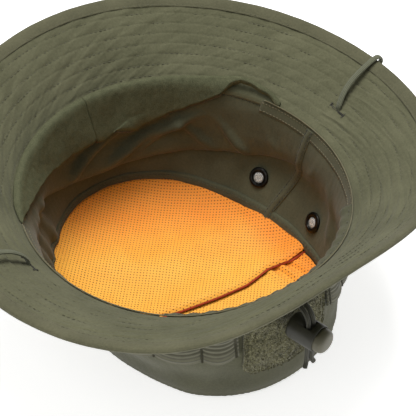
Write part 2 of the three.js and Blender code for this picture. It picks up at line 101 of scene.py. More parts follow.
def between(p0, p1, p2, p3, u):
    """A smooth curve's place from p1 to p2, at share u of the way."""
    return 0.5 * (2 * p1 + (p2 - p0) * u + (2 * p0 - 5 * p1 + 4 * p2 - p3) * u**2
                  + (3 * p1 - p0 - 3 * p2 + p3) * u**3)


def unit(vectors):
    return vectors / np.linalg.norm(vectors, axis=-1, keepdims=True)


def compass(angle):
    """Lift, slope and curl at these angles, smooth all the way round."""
    at = (np.asarray(angle, float) % 360) / 45
    i = np.floor(at).astype(int)
    rows = [BRIM_COMPASS[(i + k) % 8] for k in (-1, 0, 1, 2)]
    return np.moveaxis(between(*rows, (at - i)[..., None]), -1, 0)


def along_table(x, table):
    """Smooth values between a table's rows; its first column is where each row stands."""
    at = table[:, 0]
    x = np.clip(x, at[0], at[-1])
    i = np.clip(np.searchsorted(at, x, side="right") - 1, 0, len(at) - 2)
    slopes = np.gradient(table[:, 1:], at, axis=0)
    step = (at[i + 1] - at[i])[..., None]
    u = (x - at[i])[..., None] / step
    value = ((2 * u**3 - 3 * u**2 + 1) * table[i, 1:] + (u**3 - 2 * u**2 + u) * step * slopes[i]
             + (3 * u**2 - 2 * u**3) * table[i + 1, 1:] + (u**3 - u**2) * step * slopes[i + 1])
    return np.moveaxis(value, -1, 0)


def bump(x, middle, width):
    return np.exp(-((x - middle) / width) ** 2)


def limited(x):
    """The value, held between 0 and 1."""
    return np.clip(x, 0, 1)


def signed(angle):
    """The angle as -180 to 180."""
    return (np.asarray(angle, float) + 180) % 360 - 180


# The crease low on the wall: its height at angles round the front, and how deep it is.
CREASE = np.array([
    (-180, 50, 0), (-60, 55, 0), (-40, 55, 0), (-10, 54, 0.5), (0, 51, 1), (10, 46, 2.2),
    (20, 41, 3.4), (30, 37.5, 4.2), (40, 34.5, 4.6), (50, 32, 5.2), (60, 29.5, 5.8),
    (75, 27, 6.2), (90, 26.5, 6.2), (100, 29, 6), (110, 34, 5.2), (120, 42, 4.2),
    (132, 50, 2.4), (150, 52, 0.6), (180, 50, 0)])
CREASE_SHARE = 0.72           # how much of that depth the cloth takes
# Across the crease, from below to above: distance from it and how far the wall leans in.
# Below it the wall lies back; above it the cloth hangs over.
CREASE_ACROSS = np.array([
    (-26, 0), (-16, -0.18), (-8, -0.4), (-3, -0.55), (-0.8, -0.6), (0, -0.5), (0.8, 0.1),
    (2, 0.6), (4, 0.85), (8, 0.85), (13, 0.45), (19, -0.02), (25, -0.12), (34, 0)])
# How far the foot of the wall has slumped in over the crown top, round the front left.
SLUMP = np.array([
    (-180, 0), (-50, 0), (-30, 1.5), (-12, 5), (5, 8.5), (22, 9), (40, 6.5), (58, 2.5),
    (75, 0.3), (90, 0), (180, 0)])
SLUMP_FADE = np.array([(0, 1), (8, 1), (14, 0.85), (20, 0.5), (27, 0.2), (34, 0.04), (42, 0)])
# How far the foot of the wall lies in or out of the oval, round the back.
FOOT = np.array([
    (0, 0), (130, 0), (150, 0), (180, -4.4), (195, -5), (212, -3.8), (226, -1.8),
    (236, -2.2), (248, -3.4), (273, -3.8), (288, -1.8), (304, 2.2), (325, 1), (350, 0), (360, 0)])
# Soft ridges running down across the wall: angle and height at the foot, how much the
# angle changes per millimetre up, width in degrees, depth, and the lowest height.
RIDGES = (
    (86, 30, -1.25, 3.6, 4.6, 34), (72, 34, -0.9, 2.6, 3.0, 38), (103, 36, -1.2, 4, 4.4, 38),
    (23, 40, 0.63, 2.2, 3.2, 42), (38, 38, 0.75, 2.4, 2.6, 40), (128, 20, 0.1, 2.8, 3.0, 14),
    (139, 20, 0.05, 2.2, 2.6, 14), (148, 16, -0.05, 2.4, 2.6, 12), (12, 56, 0.5, 2, 1.6, 54),
    (55, 50, -0.4, 2.4, 2.2, 50), (-8, 58, -0.3, 2.2, 1.6, 50), (-24, 45, 0.2, 2.4, 1.8, 30))


def folds(angle, height):
    """How far the soft wall stands out from its plain shape."""
    a = np.radians(angle)
    turn = signed(angle)
    rise = limited(height / CROWN_HEIGHT)
    slack = np.sin(np.pi * rise) ** 0.8
    slow = 0.7 * np.sin(3 * a + 0.8 + height * 0.02) + 0.5 * np.sin(7 * a + 2.1 - height * 0.03)
    quick = 0.3 * np.sin(13 * a + 0.09 * height + 1.0) + 0.18 * np.sin(23 * a - 0.13 * height)
    crease_height, depth = along_table(turn, CREASE)
    crease = CREASE_SHARE * depth * along_table(height - crease_height, CREASE_ACROSS)[0]
    foot = along_table(np.asarray(angle) % 360, FOOT)[0]
    foot = foot * limited(1 - height / 62) ** 0.8
    foot = foot - along_table(turn, SLUMP)[0] * along_table(height, SLUMP_FADE)[0]
    ridges = 0
    for at, foot_height, lean, width, high, lowest in RIDGES:
        within = limited((height - lowest + 4) / 8) * limited((66 - height) / 16)
        ridges = ridges + high * within * bump(turn, at + lean * (height - foot_height), width)
    return slack * (slow + quick) - crease - ridges + foot


def crown_plain(angle, height):
    a = np.radians(angle)
    rise = height / CROWN_HEIGHT
    half_x, half_y = along_table(height, CROWN_PROFILE)
    out = folds(angle, height)
    lift = compass(angle)[0]
    return np.stack([TOP_SHIFT[0] * (1 - rise) + (half_x + out) * np.cos(a),
                     TOP_SHIFT[1] * (1 - rise) + (half_y + out) * np.sin(a),
                     height + lift * rise**2], -1)


def brim_plain(angle, along):
    """A point of the brim's middle surface, so far out from the head seam."""
    a = np.radians(angle)
    _, slope, curl = compass(angle)
    out = unit(np.stack([np.cos(a) / HEAD[0], np.sin(a) / HEAD[1], 0 * a], -1))
    place = crown_plain(angle, np.full_like(a, CROWN_HEIGHT))
    steps = 12
    for i in range(steps):
        at = (i + 0.5) * along / steps
        local = np.radians(slope + curl * (2 * at / BRIM_WIDTH - 1))
        place = place + out * (np.cos(local) * along / steps)[..., None]
        place[..., 2] += np.sin(local) * along / steps
    return place


def normal_of(surface, angle, other):
    around = surface(angle + 0.15, other) - surface(angle - 0.15, other)
    across = surface(angle, other + 0.2) - surface(angle, other - 0.2)
    return unit(np.cross(around, across))


def spread(*values):
    """The values as arrays of one shape."""
    return [v.astype(float) for v in np.broadcast_arrays(*map(np.asarray, values))]


def crown(angle, height, out=0.0):
    """A point of the crown, with out measured from the wall's outer face."""
    angle, height, out = spread(angle, height, out)
    inside = np.clip(height, 2.2, CROWN_HEIGHT - 0.3)
    normal = normal_of(crown_plain, angle, inside)
    return crown_plain(angle, height) + normal * out[..., None]


def below_head(angle, drop, out=0.0):
    return crown(angle, CROWN_HEIGHT - np.asarray(drop, float), out)


def brim(angle, along, above=0.0):
    """A point of the brim, with above measured from its middle towards the open side."""
    angle, along, above = spread(angle, along, above)
    normal = normal_of(brim_plain, angle, np.clip(along, 0.3, None))
    return brim_plain(angle, along) - normal * above[..., None]


def seam_line(surface, first, second, out, step=1):
    """A seam's points on a surface, and at each the way that its threads stand out."""
    near = surface(first, second, out)
    return near, surface(first, second, out + step) - near


def noise(x, y, seed=0):
    """Smooth repeatable noise from a few turned waves, about -1 to 1."""
    rng = np.random.default_rng(seed)
    total = 0
    for _ in range(7):
        turn, phase, scale = rng.uniform(0, 6.28), rng.uniform(0, 6.28), rng.uniform(0.6, 1.7)
        total = total + np.sin((x * math.cos(turn) + y * math.sin(turn)) * scale + phase)
    return total / 4


# ---- Meshes ----

def make(name, points, faces, material, uv=None, smooth=True):
    """A mesh object from points in millimetres, with uv per point in millimetres."""
    mesh = bpy.data.meshes.new(name)
    points = np.asarray(points, float).reshape(-1, 3) * MM
    mesh.from_pydata(points.tolist(), [], [tuple(map(int, f)) for f in faces])
    if uv is not None:
        layer = mesh.uv_layers.new(name="UVMap")
        loops = np.zeros(len(mesh.loops), int)
        mesh.loops.foreach_get("vertex_index", loops)
        layer.data.foreach_set("uv", (np.asarray(uv, float).reshape(-1, 2)[loops] / 10).ravel())
    mesh.polygons.foreach_set("use_smooth", [smooth] * len(mesh.polygons))
    mesh.materials.append(material)
    mesh.validate()
    obj = bpy.data.objects.new(name, mesh)
    bpy.context.collection.objects.link(obj)
    return obj


def grid_faces(columns, rows, around=False, start=0):
    """Quads of a grid of points listed column by column."""
    last = columns if around else columns - 1
    i = np.arange(last)[:, None]
    j = np.arange(rows - 1)[None, :]
    n = (i + 1) % columns
    quads = np.stack([i * rows + j, n * rows + j, n * rows + j + 1, i * rows + j + 1], -1)
    return (quads.reshape(-1, 4) + start).tolist()


def shell(name, top, bottom, material, around=False, uv=None):
    """A closed sheet between two grids of points; top's normal is columns x rows."""
    columns, rows = top.shape[:2]
    count = columns * rows
    faces = grid_faces(columns, rows, around)
    faces += [f[::-1] for f in grid_faces(columns, rows, around, count)]
    last = columns if around else columns - 1
    for i in range(last):
        n = (i + 1) % columns
        a, b = i * rows, n * rows
        faces.append((a, a + count, b + count, b))
        a, b = a + rows - 1, b + rows - 1
        faces.append((a, b, b + count, a + count))
    if not around:
        for j in range(rows - 1):
            faces.append((j, j + 1, j + 1 + count, j + count))
            k = (columns - 1) * rows + j
            faces.append((k, k + count, k + 1 + count, k + 1))
    if uv is None:
        uv = flat_uv(top)
    return make(name, np.concatenate([top.reshape(-1, 3), bottom.reshape(-1, 3)]), faces,
                material, np.concatenate([uv.reshape(-1, 2)] * 2))


def distances(line):
    """How far along a line each of its points is."""
    return np.concatenate([[0], np.cumsum(np.linalg.norm(np.diff(line, axis=0), axis=1))])


def part_way(x, far, values):
    """The values at distances x, from those at the distances far."""
    return np.stack([np.interp(x, far, column) for column in values.T], -1)


def flat_uv(points):
    """Distances over a grid of points: round the mean column and up the mean row."""
    wide = np.linalg.norm(np.diff(points, axis=0), axis=-1).mean(1)
    tall = np.linalg.norm(np.diff(points, axis=1), axis=-1).mean(0)
    return np.stack(grid(*(np.concatenate([[0], np.cumsum(d)]) for d in (wide, tall))), -1)


def grid(angles, others):
    return np.meshgrid(np.asarray(angles, float), np.asarray(others, float), indexing="ij")


def lathe(name, outline, material, segments=48, turn=None, at=(0, 0, 0)):
    """A turned solid: its outline is (radius, along +Y), starting and ending on the axis
    or closed on itself; turn is a 3x3 matrix and at a point in millimetres."""
    outline = np.array(outline, float)
    a = np.linspace(0, 2 * np.pi, segments, endpoint=False)
    rings = np.stack([outline[None, :, 0] * np.sin(a)[:, None],
                      np.repeat(outline[None, :, 1], segments, 0),
                      outline[None, :, 0] * np.cos(a)[:, None]], -1)
    faces = grid_faces(segments, len(outline), True)
    points = rings.reshape(-1, 3)
    if turn is not None:
        points = points @ np.array(turn).T
    obj = make(name, points + np.array(at), faces, material)
    weld(obj)
    return obj


def weld(obj, distance=1e-6):
    bm = bmesh.new()
    bm.from_mesh(obj.data)
    bmesh.ops.remove_doubles(bm, verts=bm.verts, dist=distance)
    bmesh.ops.dissolve_degenerate(bm, edges=bm.edges, dist=distance)
    bmesh.ops.recalc_face_normals(bm, faces=bm.faces)
    bm.to_mesh(obj.data)
    bm.free()


def swept(name, line, across, up, section, material):
    """A bar along a line; section is a loop of (across, up) offsets in millimetres."""
    section = np.array(section, float)
    points = (line[:, None] + across[:, None] * section[None, :, :1]
              + up[:, None] * section[None, :, 1:])
    columns, rows = points.shape[:2]
    wrapped = np.concatenate([points, points[:, :1]], 1)
    faces = []
    for i in range(columns - 1):
        for j in range(rows):
            k = (j + 1) % rows
            faces.append((i * rows + j, i * rows + k, (i + 1) * rows + k, (i + 1) * rows + j))
    faces.append(tuple(range(rows))[::-1])
    faces.append(tuple((columns - 1) * rows + j for j in range(rows)))
    return make(name, points, faces, material, flat_uv(wrapped)[:, :-1])


def stitches(name, rows, material, length=2.3, pitch=3.1, radius=0.26):
    """Threads lying on the cloth. Each row is (points along the seam, normals)."""
    points, faces = [], []
    for line, normals in rows:
        far = distances(line)
        count = max(1, int(far[-1] / pitch))
        middle = (np.arange(count) + 0.5) * far[-1] / count
        centre, normal = part_way(middle, far, line), part_way(middle, far, normals)
        along = unit(part_way(middle + 0.4, far, line) - part_way(middle - 0.4, far, line))
        side = np.cross(along, normal)
        start = len(points)
        spindle = [centre - along * length / 2 - normal * radius,
                   centre + along * length / 2 - normal * radius]
        for part in (-0.25, 0.25):
            for across, up in ((1, 0), (0, 1), (-1, 0), (0, -1)):
                spindle.append(centre + along * length * part
                               + (side * across + normal * up) * radius)
        block = np.stack(spindle, 1).reshape(-1, 3)
        base = start + np.arange(count) * 10
        points.extend(block.tolist())
        for b in base:
            for k in range(4):
                n = (k + 1) % 4
                faces.append((b, b + 2 + n, b + 2 + k))
                faces.append((b + 2 + k, b + 2 + n, b + 6 + n, b + 6 + k))
                faces.append((b + 1, b + 6 + k, b + 6 + n))
    return make(name, points, faces, material)


def sew(*settings):
    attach(stitches(*settings), "hat")


def stands_for(piece, node, body="hat"):
    """Hides the solid that a piece stands for and puts the piece on the body that it rides on."""
    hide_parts(node)
    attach(piece, body)


# ---- Materials ----

def linear(red, green, blue):
    """A colour on screen, 0 to 255, as the shader's own values."""
    def channel(c):
        c /= 255
        return c / 12.92 if c <= 0.04045 else ((c + 0.055) / 1.055) ** 2.4
    return (channel(red), channel(green), channel(blue), 1)


class Surface:
    """A procedural material built up from a few kinds of node."""

    def __init__(self, name, rough, metallic=0.0, sheen=0.0, specular=0.5):
        self.material = bpy.data.materials.new(name)
        self.material.use_nodes = True
        self.tree = self.material.node_tree
        self.shader = self.tree.nodes["Principled BSDF"]
        for key, value in (("Roughness", rough), ("Metallic", metallic),
                           ("Sheen Weight", sheen), ("Specular IOR Level", specular)):
            self.shader.inputs[key].default_value = value
        self.uv = self.node("ShaderNodeUVMap").outputs["UV"]
        self.place = self.node("ShaderNodeTexCoord").outputs["Object"]
        self.height = None

    def node(self, kind, inputs=None, **settings):
        node = self.tree.nodes.new(kind)
        for key, value in settings.items():
            setattr(node, key, value)
        for key, value in (inputs or {}).items():
            if isinstance(value, bpy.types.NodeSocket):
                self.tree.links.new(value, node.inputs[key])
            else:
                node.inputs[key].default_value = value
        return node

    def calc(self, operation, *values):
        return self.node("ShaderNodeMath", dict(enumerate(values)), operation=operation).outputs[0]

    def noise(self, scale, detail=3.0, where=None, rough=0.55):
        return self.node("ShaderNodeTexNoise", {
            "Vector": where or self.place, "Scale": scale, "Detail": detail,
            "Roughness": rough}).outputs["Fac"]

    def stretched(self, across, along, angle=0.0):
        return self.node("ShaderNodeMapping", {
            "Vector": self.uv, "Scale": (across, along, 1), "Rotation": (0, 0, angle),
        }).outputs["Vector"]

    def dots(self, pitch, angle=math.pi / 4):
        """Distance from a regular grid of points, pitch in millimetres, 0 at each."""
        cell = self.stretched(10 / pitch, 10 / pitch, angle)
        return self.node("ShaderNodeTexVoronoi", {
            "Vector": cell, "Scale": 1.0, "Randomness": 0.0}).outputs["Distance"]

    def wave(self, pitch, direction="X", angle=0.0, distortion=0.0):
        """Ridges across the cloth every pitch millimetres."""
        return self.node("ShaderNodeTexWave", {
            "Vector": self.stretched(1, 1, angle), "Scale": math.pi / pitch,
            "Distortion": distortion}, bands_direction=direction).outputs["Fac"]

    def ramp(self, value, low, high):
        return self.node("ShaderNodeMapRange", {
            "Value": value, "From Min": low, "From Max": high}).outputs["Result"]

    def mix(self, factor, first, second):
        """Blends two colours, each (red, green, blue) on screen or a node's output."""
        first, second = (linear(*c) if isinstance(c, tuple) else c for c in (first, second))
        inputs = {0: factor, 6: first, 7: second}
        return self.node("ShaderNodeMix", inputs, data_type="RGBA").outputs[2]

    def weigh(self, *parts):
        """The sum of some values, each times its weight."""
        total = 0.0
        for value, weight in parts:
            total = self.calc("ADD", total, self.calc("MULTIPLY", value, weight))
        return total

    def color(self, value):
        self.tree.links.new(value, self.shader.inputs["Base Color"])

    def bump(self, value, strength, depth):
        """Adds relief; depth in millimetres."""
        inputs = {"Height": value, "Strength": strength, "Distance": depth * MM}
        if self.height is not None:
            inputs["Normal"] = self.height
        self.height = self.node("ShaderNodeBump", inputs).outputs["Normal"]
        self.tree.links.new(self.height, self.shader.inputs["Normal"])


def cloth(name, light, dark, weave=0.55, rough=0.88, sheen=0.12):
    """Tightly woven cloth: crossed threads, slubs and slow wear in its colour."""
    s = Surface(name, rough, sheen=sheen, specular=0.25)
    warp = s.wave(weave, "X")
    weft = s.wave(weave, "Y")
    threads = s.calc("MULTIPLY", warp, weft)
    slub = s.noise(900, 2)
    worn = s.noise(45, 4)
    shade = s.weigh((threads, 0.25), (slub, 0.45), (worn, 0.55))
    s.color(s.mix(s.ramp(shade, 0.35, 0.85), dark, light))
    s.bump(threads, 0.35, 0.12)
    s.bump(slub, 0.25, 0.15)
    s.bump(worn, 0.15, 0.6)
    return s.material


def fleece():
    s = Surface("fleece", 1.0, sheen=0.12, specular=0.05)
    s.shader.inputs["Sheen Roughness"].default_value = 0.7
    s.shader.inputs["Sheen Tint"].default_value = linear(150, 156, 120)
    nap = s.noise(1900, 3, rough=0.75)
    brushed = s.noise(260, 4)
    shade = s.weigh((nap, 0.72), (brushed, 0.28))
    s.color(s.mix(s.ramp(shade, 0.3, 0.7), (56, 58, 41), (106, 107, 82)))
    s.bump(nap, 0.8, 0.5)
    s.bump(brushed, 0.2, 0.9)
    return s.material


def orange_mesh():
    """Perforated knit: small round holes in staggered rows."""
    s = Surface("orange_mesh", 0.62, sheen=0.15, specular=0.35)
    wander = s.noise(420, 2)
    pitch = 1.85
    rim = s.calc("ADD", 0.1, s.calc("MULTIPLY", wander, 0.16))
    hole = s.calc("GREATER_THAN", s.dots(pitch), rim)
    slow = s.noise(60, 3)
    knit = s.wave(0.5, "X", math.pi / 4)
    body = s.mix(slow, (250, 168, 48), (252, 190, 74))
    # Deeper, darker orange towards the far wall and the right end: partly a redder tone of the
    # mesh, partly painted shade where the mesh curves up into shadow.
    place = s.node("ShaderNodeSeparateXYZ", {"Vector": s.place}).outputs
    far = s.weigh((place["X"], 0.75), (place["Y"], 1.0))
    deep = s.mix(slow, (255, 144, 34), (255, 162, 52))
    edge = s.calc("MAXIMUM", s.ramp(far, 0.02, 0.075),
                  s.ramp(place["X"], 0.042, 0.062))
    body = s.mix(edge, body, deep)
    # The holes are painted as dark brownish-orange dots: painted shade, for the shaded cloth seen
    # through them; the mesh itself is not cut.
    s.color(s.mix(hole, (132, 52, 8), body))
    s.bump(s.ramp(s.dots(pitch), 0.1, 0.3), 0.6, 0.3)
    s.bump(knit, 0.2, 0.1)
    return s.material


def loop_pile():
    s = Surface("loop_pile", 1.0, sheen=0.3, specular=0.1)
    loops = s.noise(1300, 3, rough=0.75)
    patchy = s.noise(220, 3)
    shade = s.weigh((loops, 0.6), (patchy, 0.4))
    s.color(s.mix(s.ramp(shade, 0.36, 0.62), (60, 58, 39), (130, 127, 92)))
    s.bump(loops, 0.9, 0.6)
    return s.material


def webbing(name, light, dark, pitch):
    """Ribbed webbing or braided elastic: ribs along its length, cross threads between."""
    s = Surface(name, 0.8, sheen=0.15, specular=0.3)
    rib = s.wave(pitch, "Y")
    cross = s.wave(0.8, "X", 0.5)
    grime = s.noise(200, 3)
    shade = s.weigh((rib, 0.5), (cross, 0.2), (grime, 0.4))
    s.color(s.mix(s.ramp(shade, 0.2, 0.9), dark, light))
    s.bump(rib, 0.5, 0.3)
    s.bump(cross, 0.3, 0.12)
    return s.material


def plastic(name, light, dark, rough):
    """Moulded plastic with a fine spark-eroded texture."""
    s = Surface(name, rough, specular=0.45)
    grain = s.noise(2600, 2)
    cloud = s.noise(120, 3)
    s.color(s.mix(cloud, dark, light))
    s.bump(grain, 0.12, 0.08)
    return s.material


def metal(name, light, dark, rough, scratch):
    s = Surface(name, rough, metallic=0.85, specular=0.5)
    worn = s.noise(400, 4)
    s.color(s.mix(s.ramp(worn, 0.45, 0.7), dark, light))
    s.bump(worn, scratch, 0.05)
    return s.material


def screen_wire():
    """Fine woven wire."""
    s = Surface("steel_screen", 0.5, specular=0.5)
    grid = s.noise(2400, 2)
    s.color(s.mix(s.ramp(grid, 0.42, 0.6), (120, 119, 114), (236, 234, 228)))
    s.bump(grid, 0.5, 0.2)
    return s.material


def thread(name, light, dark):
    s = Surface(name, 0.7, sheen=0.2, specular=0.3)
    s.color(s.mix(s.noise(700, 2), dark, light))
    s.bump(s.noise(2400, 2), 0.3, 0.08)
    return s.material


BRIM_CLOTH = cloth("brim_cloth", (106, 105, 80), (76, 76, 54))
UNDER_CLOTH = cloth("brim_underside", (98, 97, 75), (72, 71, 53))
# The crown's cloth is a darker copy of the brim's cloth: painted shade, for the shade that lies on
# the crown's walls.
SHADED_CROWN_CLOTH = cloth("crown_cloth", (96, 95, 73), (68, 68, 49))
TAPE = cloth("edge_tape", (104, 88, 62), (70, 58, 40), 0.4)
PIPING = cloth("seam_piping", (124, 118, 92), (96, 92, 70), 0.35)
FLEECE = fleece()
MESH = orange_mesh()
PILE = loop_pile()
WEBBING = webbing("webbing", (104, 102, 82), (66, 65, 49), 3.0)
ELASTIC = webbing("elastic", (112, 114, 92), (72, 73, 57), 0.9)
CORD = webbing("cord", (72, 71, 58), (36, 35, 27), 0.9)
BARREL = plastic("lock_plastic", (48, 47, 33), (34, 33, 22), 0.5)
# The button is a lighter copy of the barrel's plastic, at the colour of its lit domed end: partly
# painted highlight.
PLUNGER = plastic("plunger_plastic", (92, 89, 69), (76, 73, 55), 0.5)
BLACK_METAL = metal("black_brass", (58, 55, 50), (26, 25, 23), 0.38, 0.1)
SPRING_STEEL = metal("spring_steel", (190, 190, 188), (150, 150, 150), 0.3, 0.05)
THREAD = thread("thread", (86, 84, 62), (54, 52, 38))
PALE_THREAD = thread("pale_thread", (150, 142, 112), (110, 102, 78))
# Dark red for the lining's fold edge: partly its thread, partly painted shadow under the front
# panel's lip.
FOLD_THREAD_AND_SHADOW = thread("fold_thread_and_shadow", (200, 70, 25), (140, 40, 15))
SCREEN = screen_wire()
DARK_THREAD = thread("dark_thread", (54, 52, 40), (34, 33, 25))
INTERLINING = cloth("interlining", (90, 88, 70), (70, 68, 54))
BINDING_CLOTH = cloth("binding_cloth", (104, 102, 78), (76, 75, 55))
BRIM_THREAD = thread("brim_thread", (98, 97, 74), (70, 69, 50))


# ---- Crown ----

WALL_DEGREES_PER_MM = 0.62
CROWN_ROWS = np.concatenate([[1.8, 2.3, 3.2, 4.4, 6], np.linspace(8, CROWN_HEIGHT - 0.4, 66)])


def drilled(obj, tools):
    """The object with the cutting tools taken out, as a plain mesh."""
    for tool in tools:
        modifier = obj.modifiers.new("hole", "BOOLEAN")
        modifier.operation = "DIFFERENCE"
        modifier.solver = "EXACT"
        modifier.object = tool
    bpy.context.view_layer.update()
    solid = obj.evaluated_get(bpy.context.evaluated_depsgraph_get())
    mesh = bpy.data.meshes.new_from_object(solid)
    obj.modifiers.clear()
    obj.data = mesh
    for tool in tools:
        bpy.data.objects.remove(tool)
    return obj


def cutter(across, deep, tall, turn=np.eye(3), place=(0, 0, 0)):
    """A box to cut with, from its start and end along each of its own axes."""
    corners = [(x, y, z) for x in across for y in deep for z in tall]
    faces = [(0, 1, 3, 2), (4, 6, 7, 5), (0, 4, 5, 1), (2, 3, 7, 6), (0, 2, 6, 4), (1, 5, 7, 3)]
    points = np.array(corners) @ np.asarray(turn).T + np.array(place)
    box = make("cutter", points, faces, BARREL, smooth=False)
    weld(box)
    return box


def axes_at(angle, height):
    """A matrix whose second column is the wall's outward normal, and the place itself."""
    place = crown(angle, height)
    up = unit(crown(angle, height, 1.0) - place)
    side = unit(np.cross(up, (0, 0, 1.0)))
    return np.stack([side, up, np.cross(side, up)], -1), place


def eyelet_drill(angle):
    turn, place = axes_at(angle, EYELET_HEIGHT)
    outline = [(0, -7), (4, -7), (4, 7), (0, 7)]
    return lathe("drill", outline, BLACK_METAL, 32, turn, place)


# The left side seam slants across the wall: height and angle. The right one mirrors it.
SEAM_SLANT = np.array([(2, 7.2), (15, 6), (25, 4.2), (36, 2.4), (50, 0.2), (80, -1.4)])


def seam_angle(side, height):
    slant = along_table(height, SEAM_SLANT)[0]
    return slant if side == "left" else 180 - slant


def crown_walls():
    for side, start in (("front", 0), ("back", 180)):
        share, h = grid(np.linspace(0, 1, 230), CROWN_ROWS)
        left, right = seam_angle("left", h), seam_angle("right", h)
        first, last = (left, right) if side == "front" else (right, left + 360)
        a = first + 0.1 + (last - first - 0.2) * share
        ripple = 0.12 * noise(a * 1.9, h * 0.35, 3)
        wall = shell(f"crown_{side}", crown(a, h, ripple), crown(a, h, ripple - CLOTH),
                     SHADED_CROWN_CLOTH)
        drills = [eyelet_drill(angle) for angle in EYELETS.values()
                  if start <= angle % 360 < start + 180]
        if side == "back":
            x, z = EXIT["x"], EXIT["z"]
            half = (EXIT["width"] / 2, EXIT["tall"] / 2)
            drills.append(cutter((x - half[0], x + half[0]), (-110, -80),
                                 (z - half[1], z + half[1])))
        drilled(wall, drills)
        stands_for(wall, f"crown_wall_{side}")


def crown_top():
    """The oval top panel, flat on the floor, with its edge turned up into the wall seam."""
    angles = np.linspace(0, 360, 200, endpoint=False)
    shares = np.concatenate([[0.02], np.linspace(0.1, 0.94, 18), [0.965, 0.985, 1.0]])
    a, s = grid(angles, shares)
    turned = limited((s - 0.955) / 0.045)
    foot = crown_plain(angles, np.full(len(angles), 2.0))
    x = TOP_SHIFT[0] + (foot[:, :1] - TOP_SHIFT[0]) * s
    y = TOP_SHIFT[1] + (foot[:, 1:2] - TOP_SHIFT[1]) * s
    slack = 0.25 * (1 + noise(x * 0.05, y * 0.05, 5)) * np.clip(1 - s, 0, 0.3) / 0.3
    low = turned**2 * 1.4 + slack
    outer = np.stack([x, y, low], -1)
    inner = np.stack([x, y, low + CLOTH], -1)
    uv = np.stack([x, y], -1)
    panel = shell("crown_top", inner, outer, SHADED_CROWN_CLOTH, True, uv)
    close_middle(panel, len(angles), len(shares))
    stands_for(panel, "crown_top_panel")


def close_middle(obj, columns, rows):
    """Draws the innermost ring of a round shell together, so that it has no hole."""
    mesh = obj.data
    for face in range(2):
        ring = [mesh.vertices[face * columns * rows + i * rows] for i in range(columns)]
        middle = sum((v.co for v in ring), Vector()) / columns
        for vertex in ring:
            vertex.co = middle
    weld(obj)


def side_seams():
    """Felled seams: a folded ridge with a row of stitches down each edge."""
    half_width = 3.0 * WALL_DEGREES_PER_MM
    stitched = 0.62
    threads = []
    for side in ("left", "right"):
        heights = np.linspace(9, CROWN_HEIGHT - 1.0, 110)
        middle = seam_angle(side, heights)
        shares = np.linspace(-1, 1, 13)
        a, h = grid(shares, heights)
        angle = middle + a * half_width
        sunk = 0.7 * bump(np.abs(a), stitched, 0.16)
        rise = 1.2 * limited((1 - np.abs(a)) * 5) + 0.15 * noise(h * 0.8, a * 3, 2) - sunk
        top = crown(angle, h, -CLOTH - 0.15 - rise)
        bottom = crown(angle, h, -CLOTH + 0.05)
        seam = shell(f"side_seam_{side}", bottom, top, SHADED_CROWN_CLOTH)
        stands_for(seam, f"side_seam_fell_{side}")
        for share in (-stitched, stitched):
            row = middle + share * half_width
            threads.append(seam_line(crown, row, heights, -CLOTH - 0.95, -1))
    sew("side_seam_stitches", threads, DARK_THREAD, 1.9, 2.5, 0.26)


def eyelets():
    grommet = [(3.35, -2.7), (3.7, -2.7), (3.75, -0.3), (3.9, 0.35), (6.1, 0.35), (6.25, 0.6),
               (6.0, 0.9), (5.2, 1.25), (4.3, 1.35), (3.6, 1.2), (3.4, 0.7), (3.35, 0)]
    washer = [(3.85, -2.6), (4.3, -2.9), (5.3, -2.85), (6.0, -2.5), (6.25, -2.1), (6.1, -1.5),
              (3.85, -1.5)]
    for name, angle in EYELETS.items():
        turn, place = axes_at(angle, EYELET_HEIGHT)
        mesh_disc = [(0, -2.4), (1.8, -2.35), (3.5, -2.15), (3.5, -1.8), (0, -1.9)]
        screen = lathe(f"eyelet_{name}_screen", mesh_disc, SCREEN, 44, turn, place)
        stands_for(screen, f"eyelet_screen_{name}")
        for part, outline in (("grommet", grommet), ("washer", washer)):
            ring = lathe(f"eyelet_{name}_{part}", [*outline, outline[0]], BLACK_METAL, 44,
                         turn, place)
            stands_for(ring, f"eyelet_{part}_{name}")


# ---- Lining ----

# Where the front lining panel laps over the back one, from the right side to the left.
FOLD_LINE = np.array([
    (-90, 9), (-60, 2.5), (-30, -5.7), (-15, -9.6), (0, -13.6), (10, -16), (20, -17.8),
    (29, -19), (37.5, -18.2), (46.5, -17.2), (53, -19.3), (60, -22.4), (68, -23.6), (90, -30)])


LINING_REACH = (72, 89.5)     # from the lining's middle to the wall: sideways, lengthways


def lining_shares(x, y):
    """How far points lie from the lining's middle, as shares of its reach."""
    return (x - TOP_SHIFT[0]) / LINING_REACH[0], (y - TOP_SHIFT[1]) / LINING_REACH[1]


def lining_height(x, y):
    """The slack mesh: high at the wall, sagging to the crown top in the middle."""
    near = np.hypot(*lining_shares(x, y))
    bowl = 3.0 + 8.5 * np.clip(near, 0, 1.1) ** 5
    ridge = 1.7 * bump(y + 0.17 * x, 26 + 12 * np.clip(-x / 20, 0, 1.5), 13)
    return bowl + ridge + 0.5 * noise(x * 0.07, y * 0.07, 11) + 0.2 * noise(x * 0.2, y * 0.2, 12)


def with_wall(x, y, z):
    """The lining's points, drawn in or out where the wall beside them lies in or out."""
    east, north = lining_shares(x, y)
    a = np.arctan2(north, east)
    out = folds(np.degrees(a), z) * np.clip(np.hypot(east, north), 0, 1.1) ** 4
    return x + out * np.cos(a), y + out * np.sin(a)


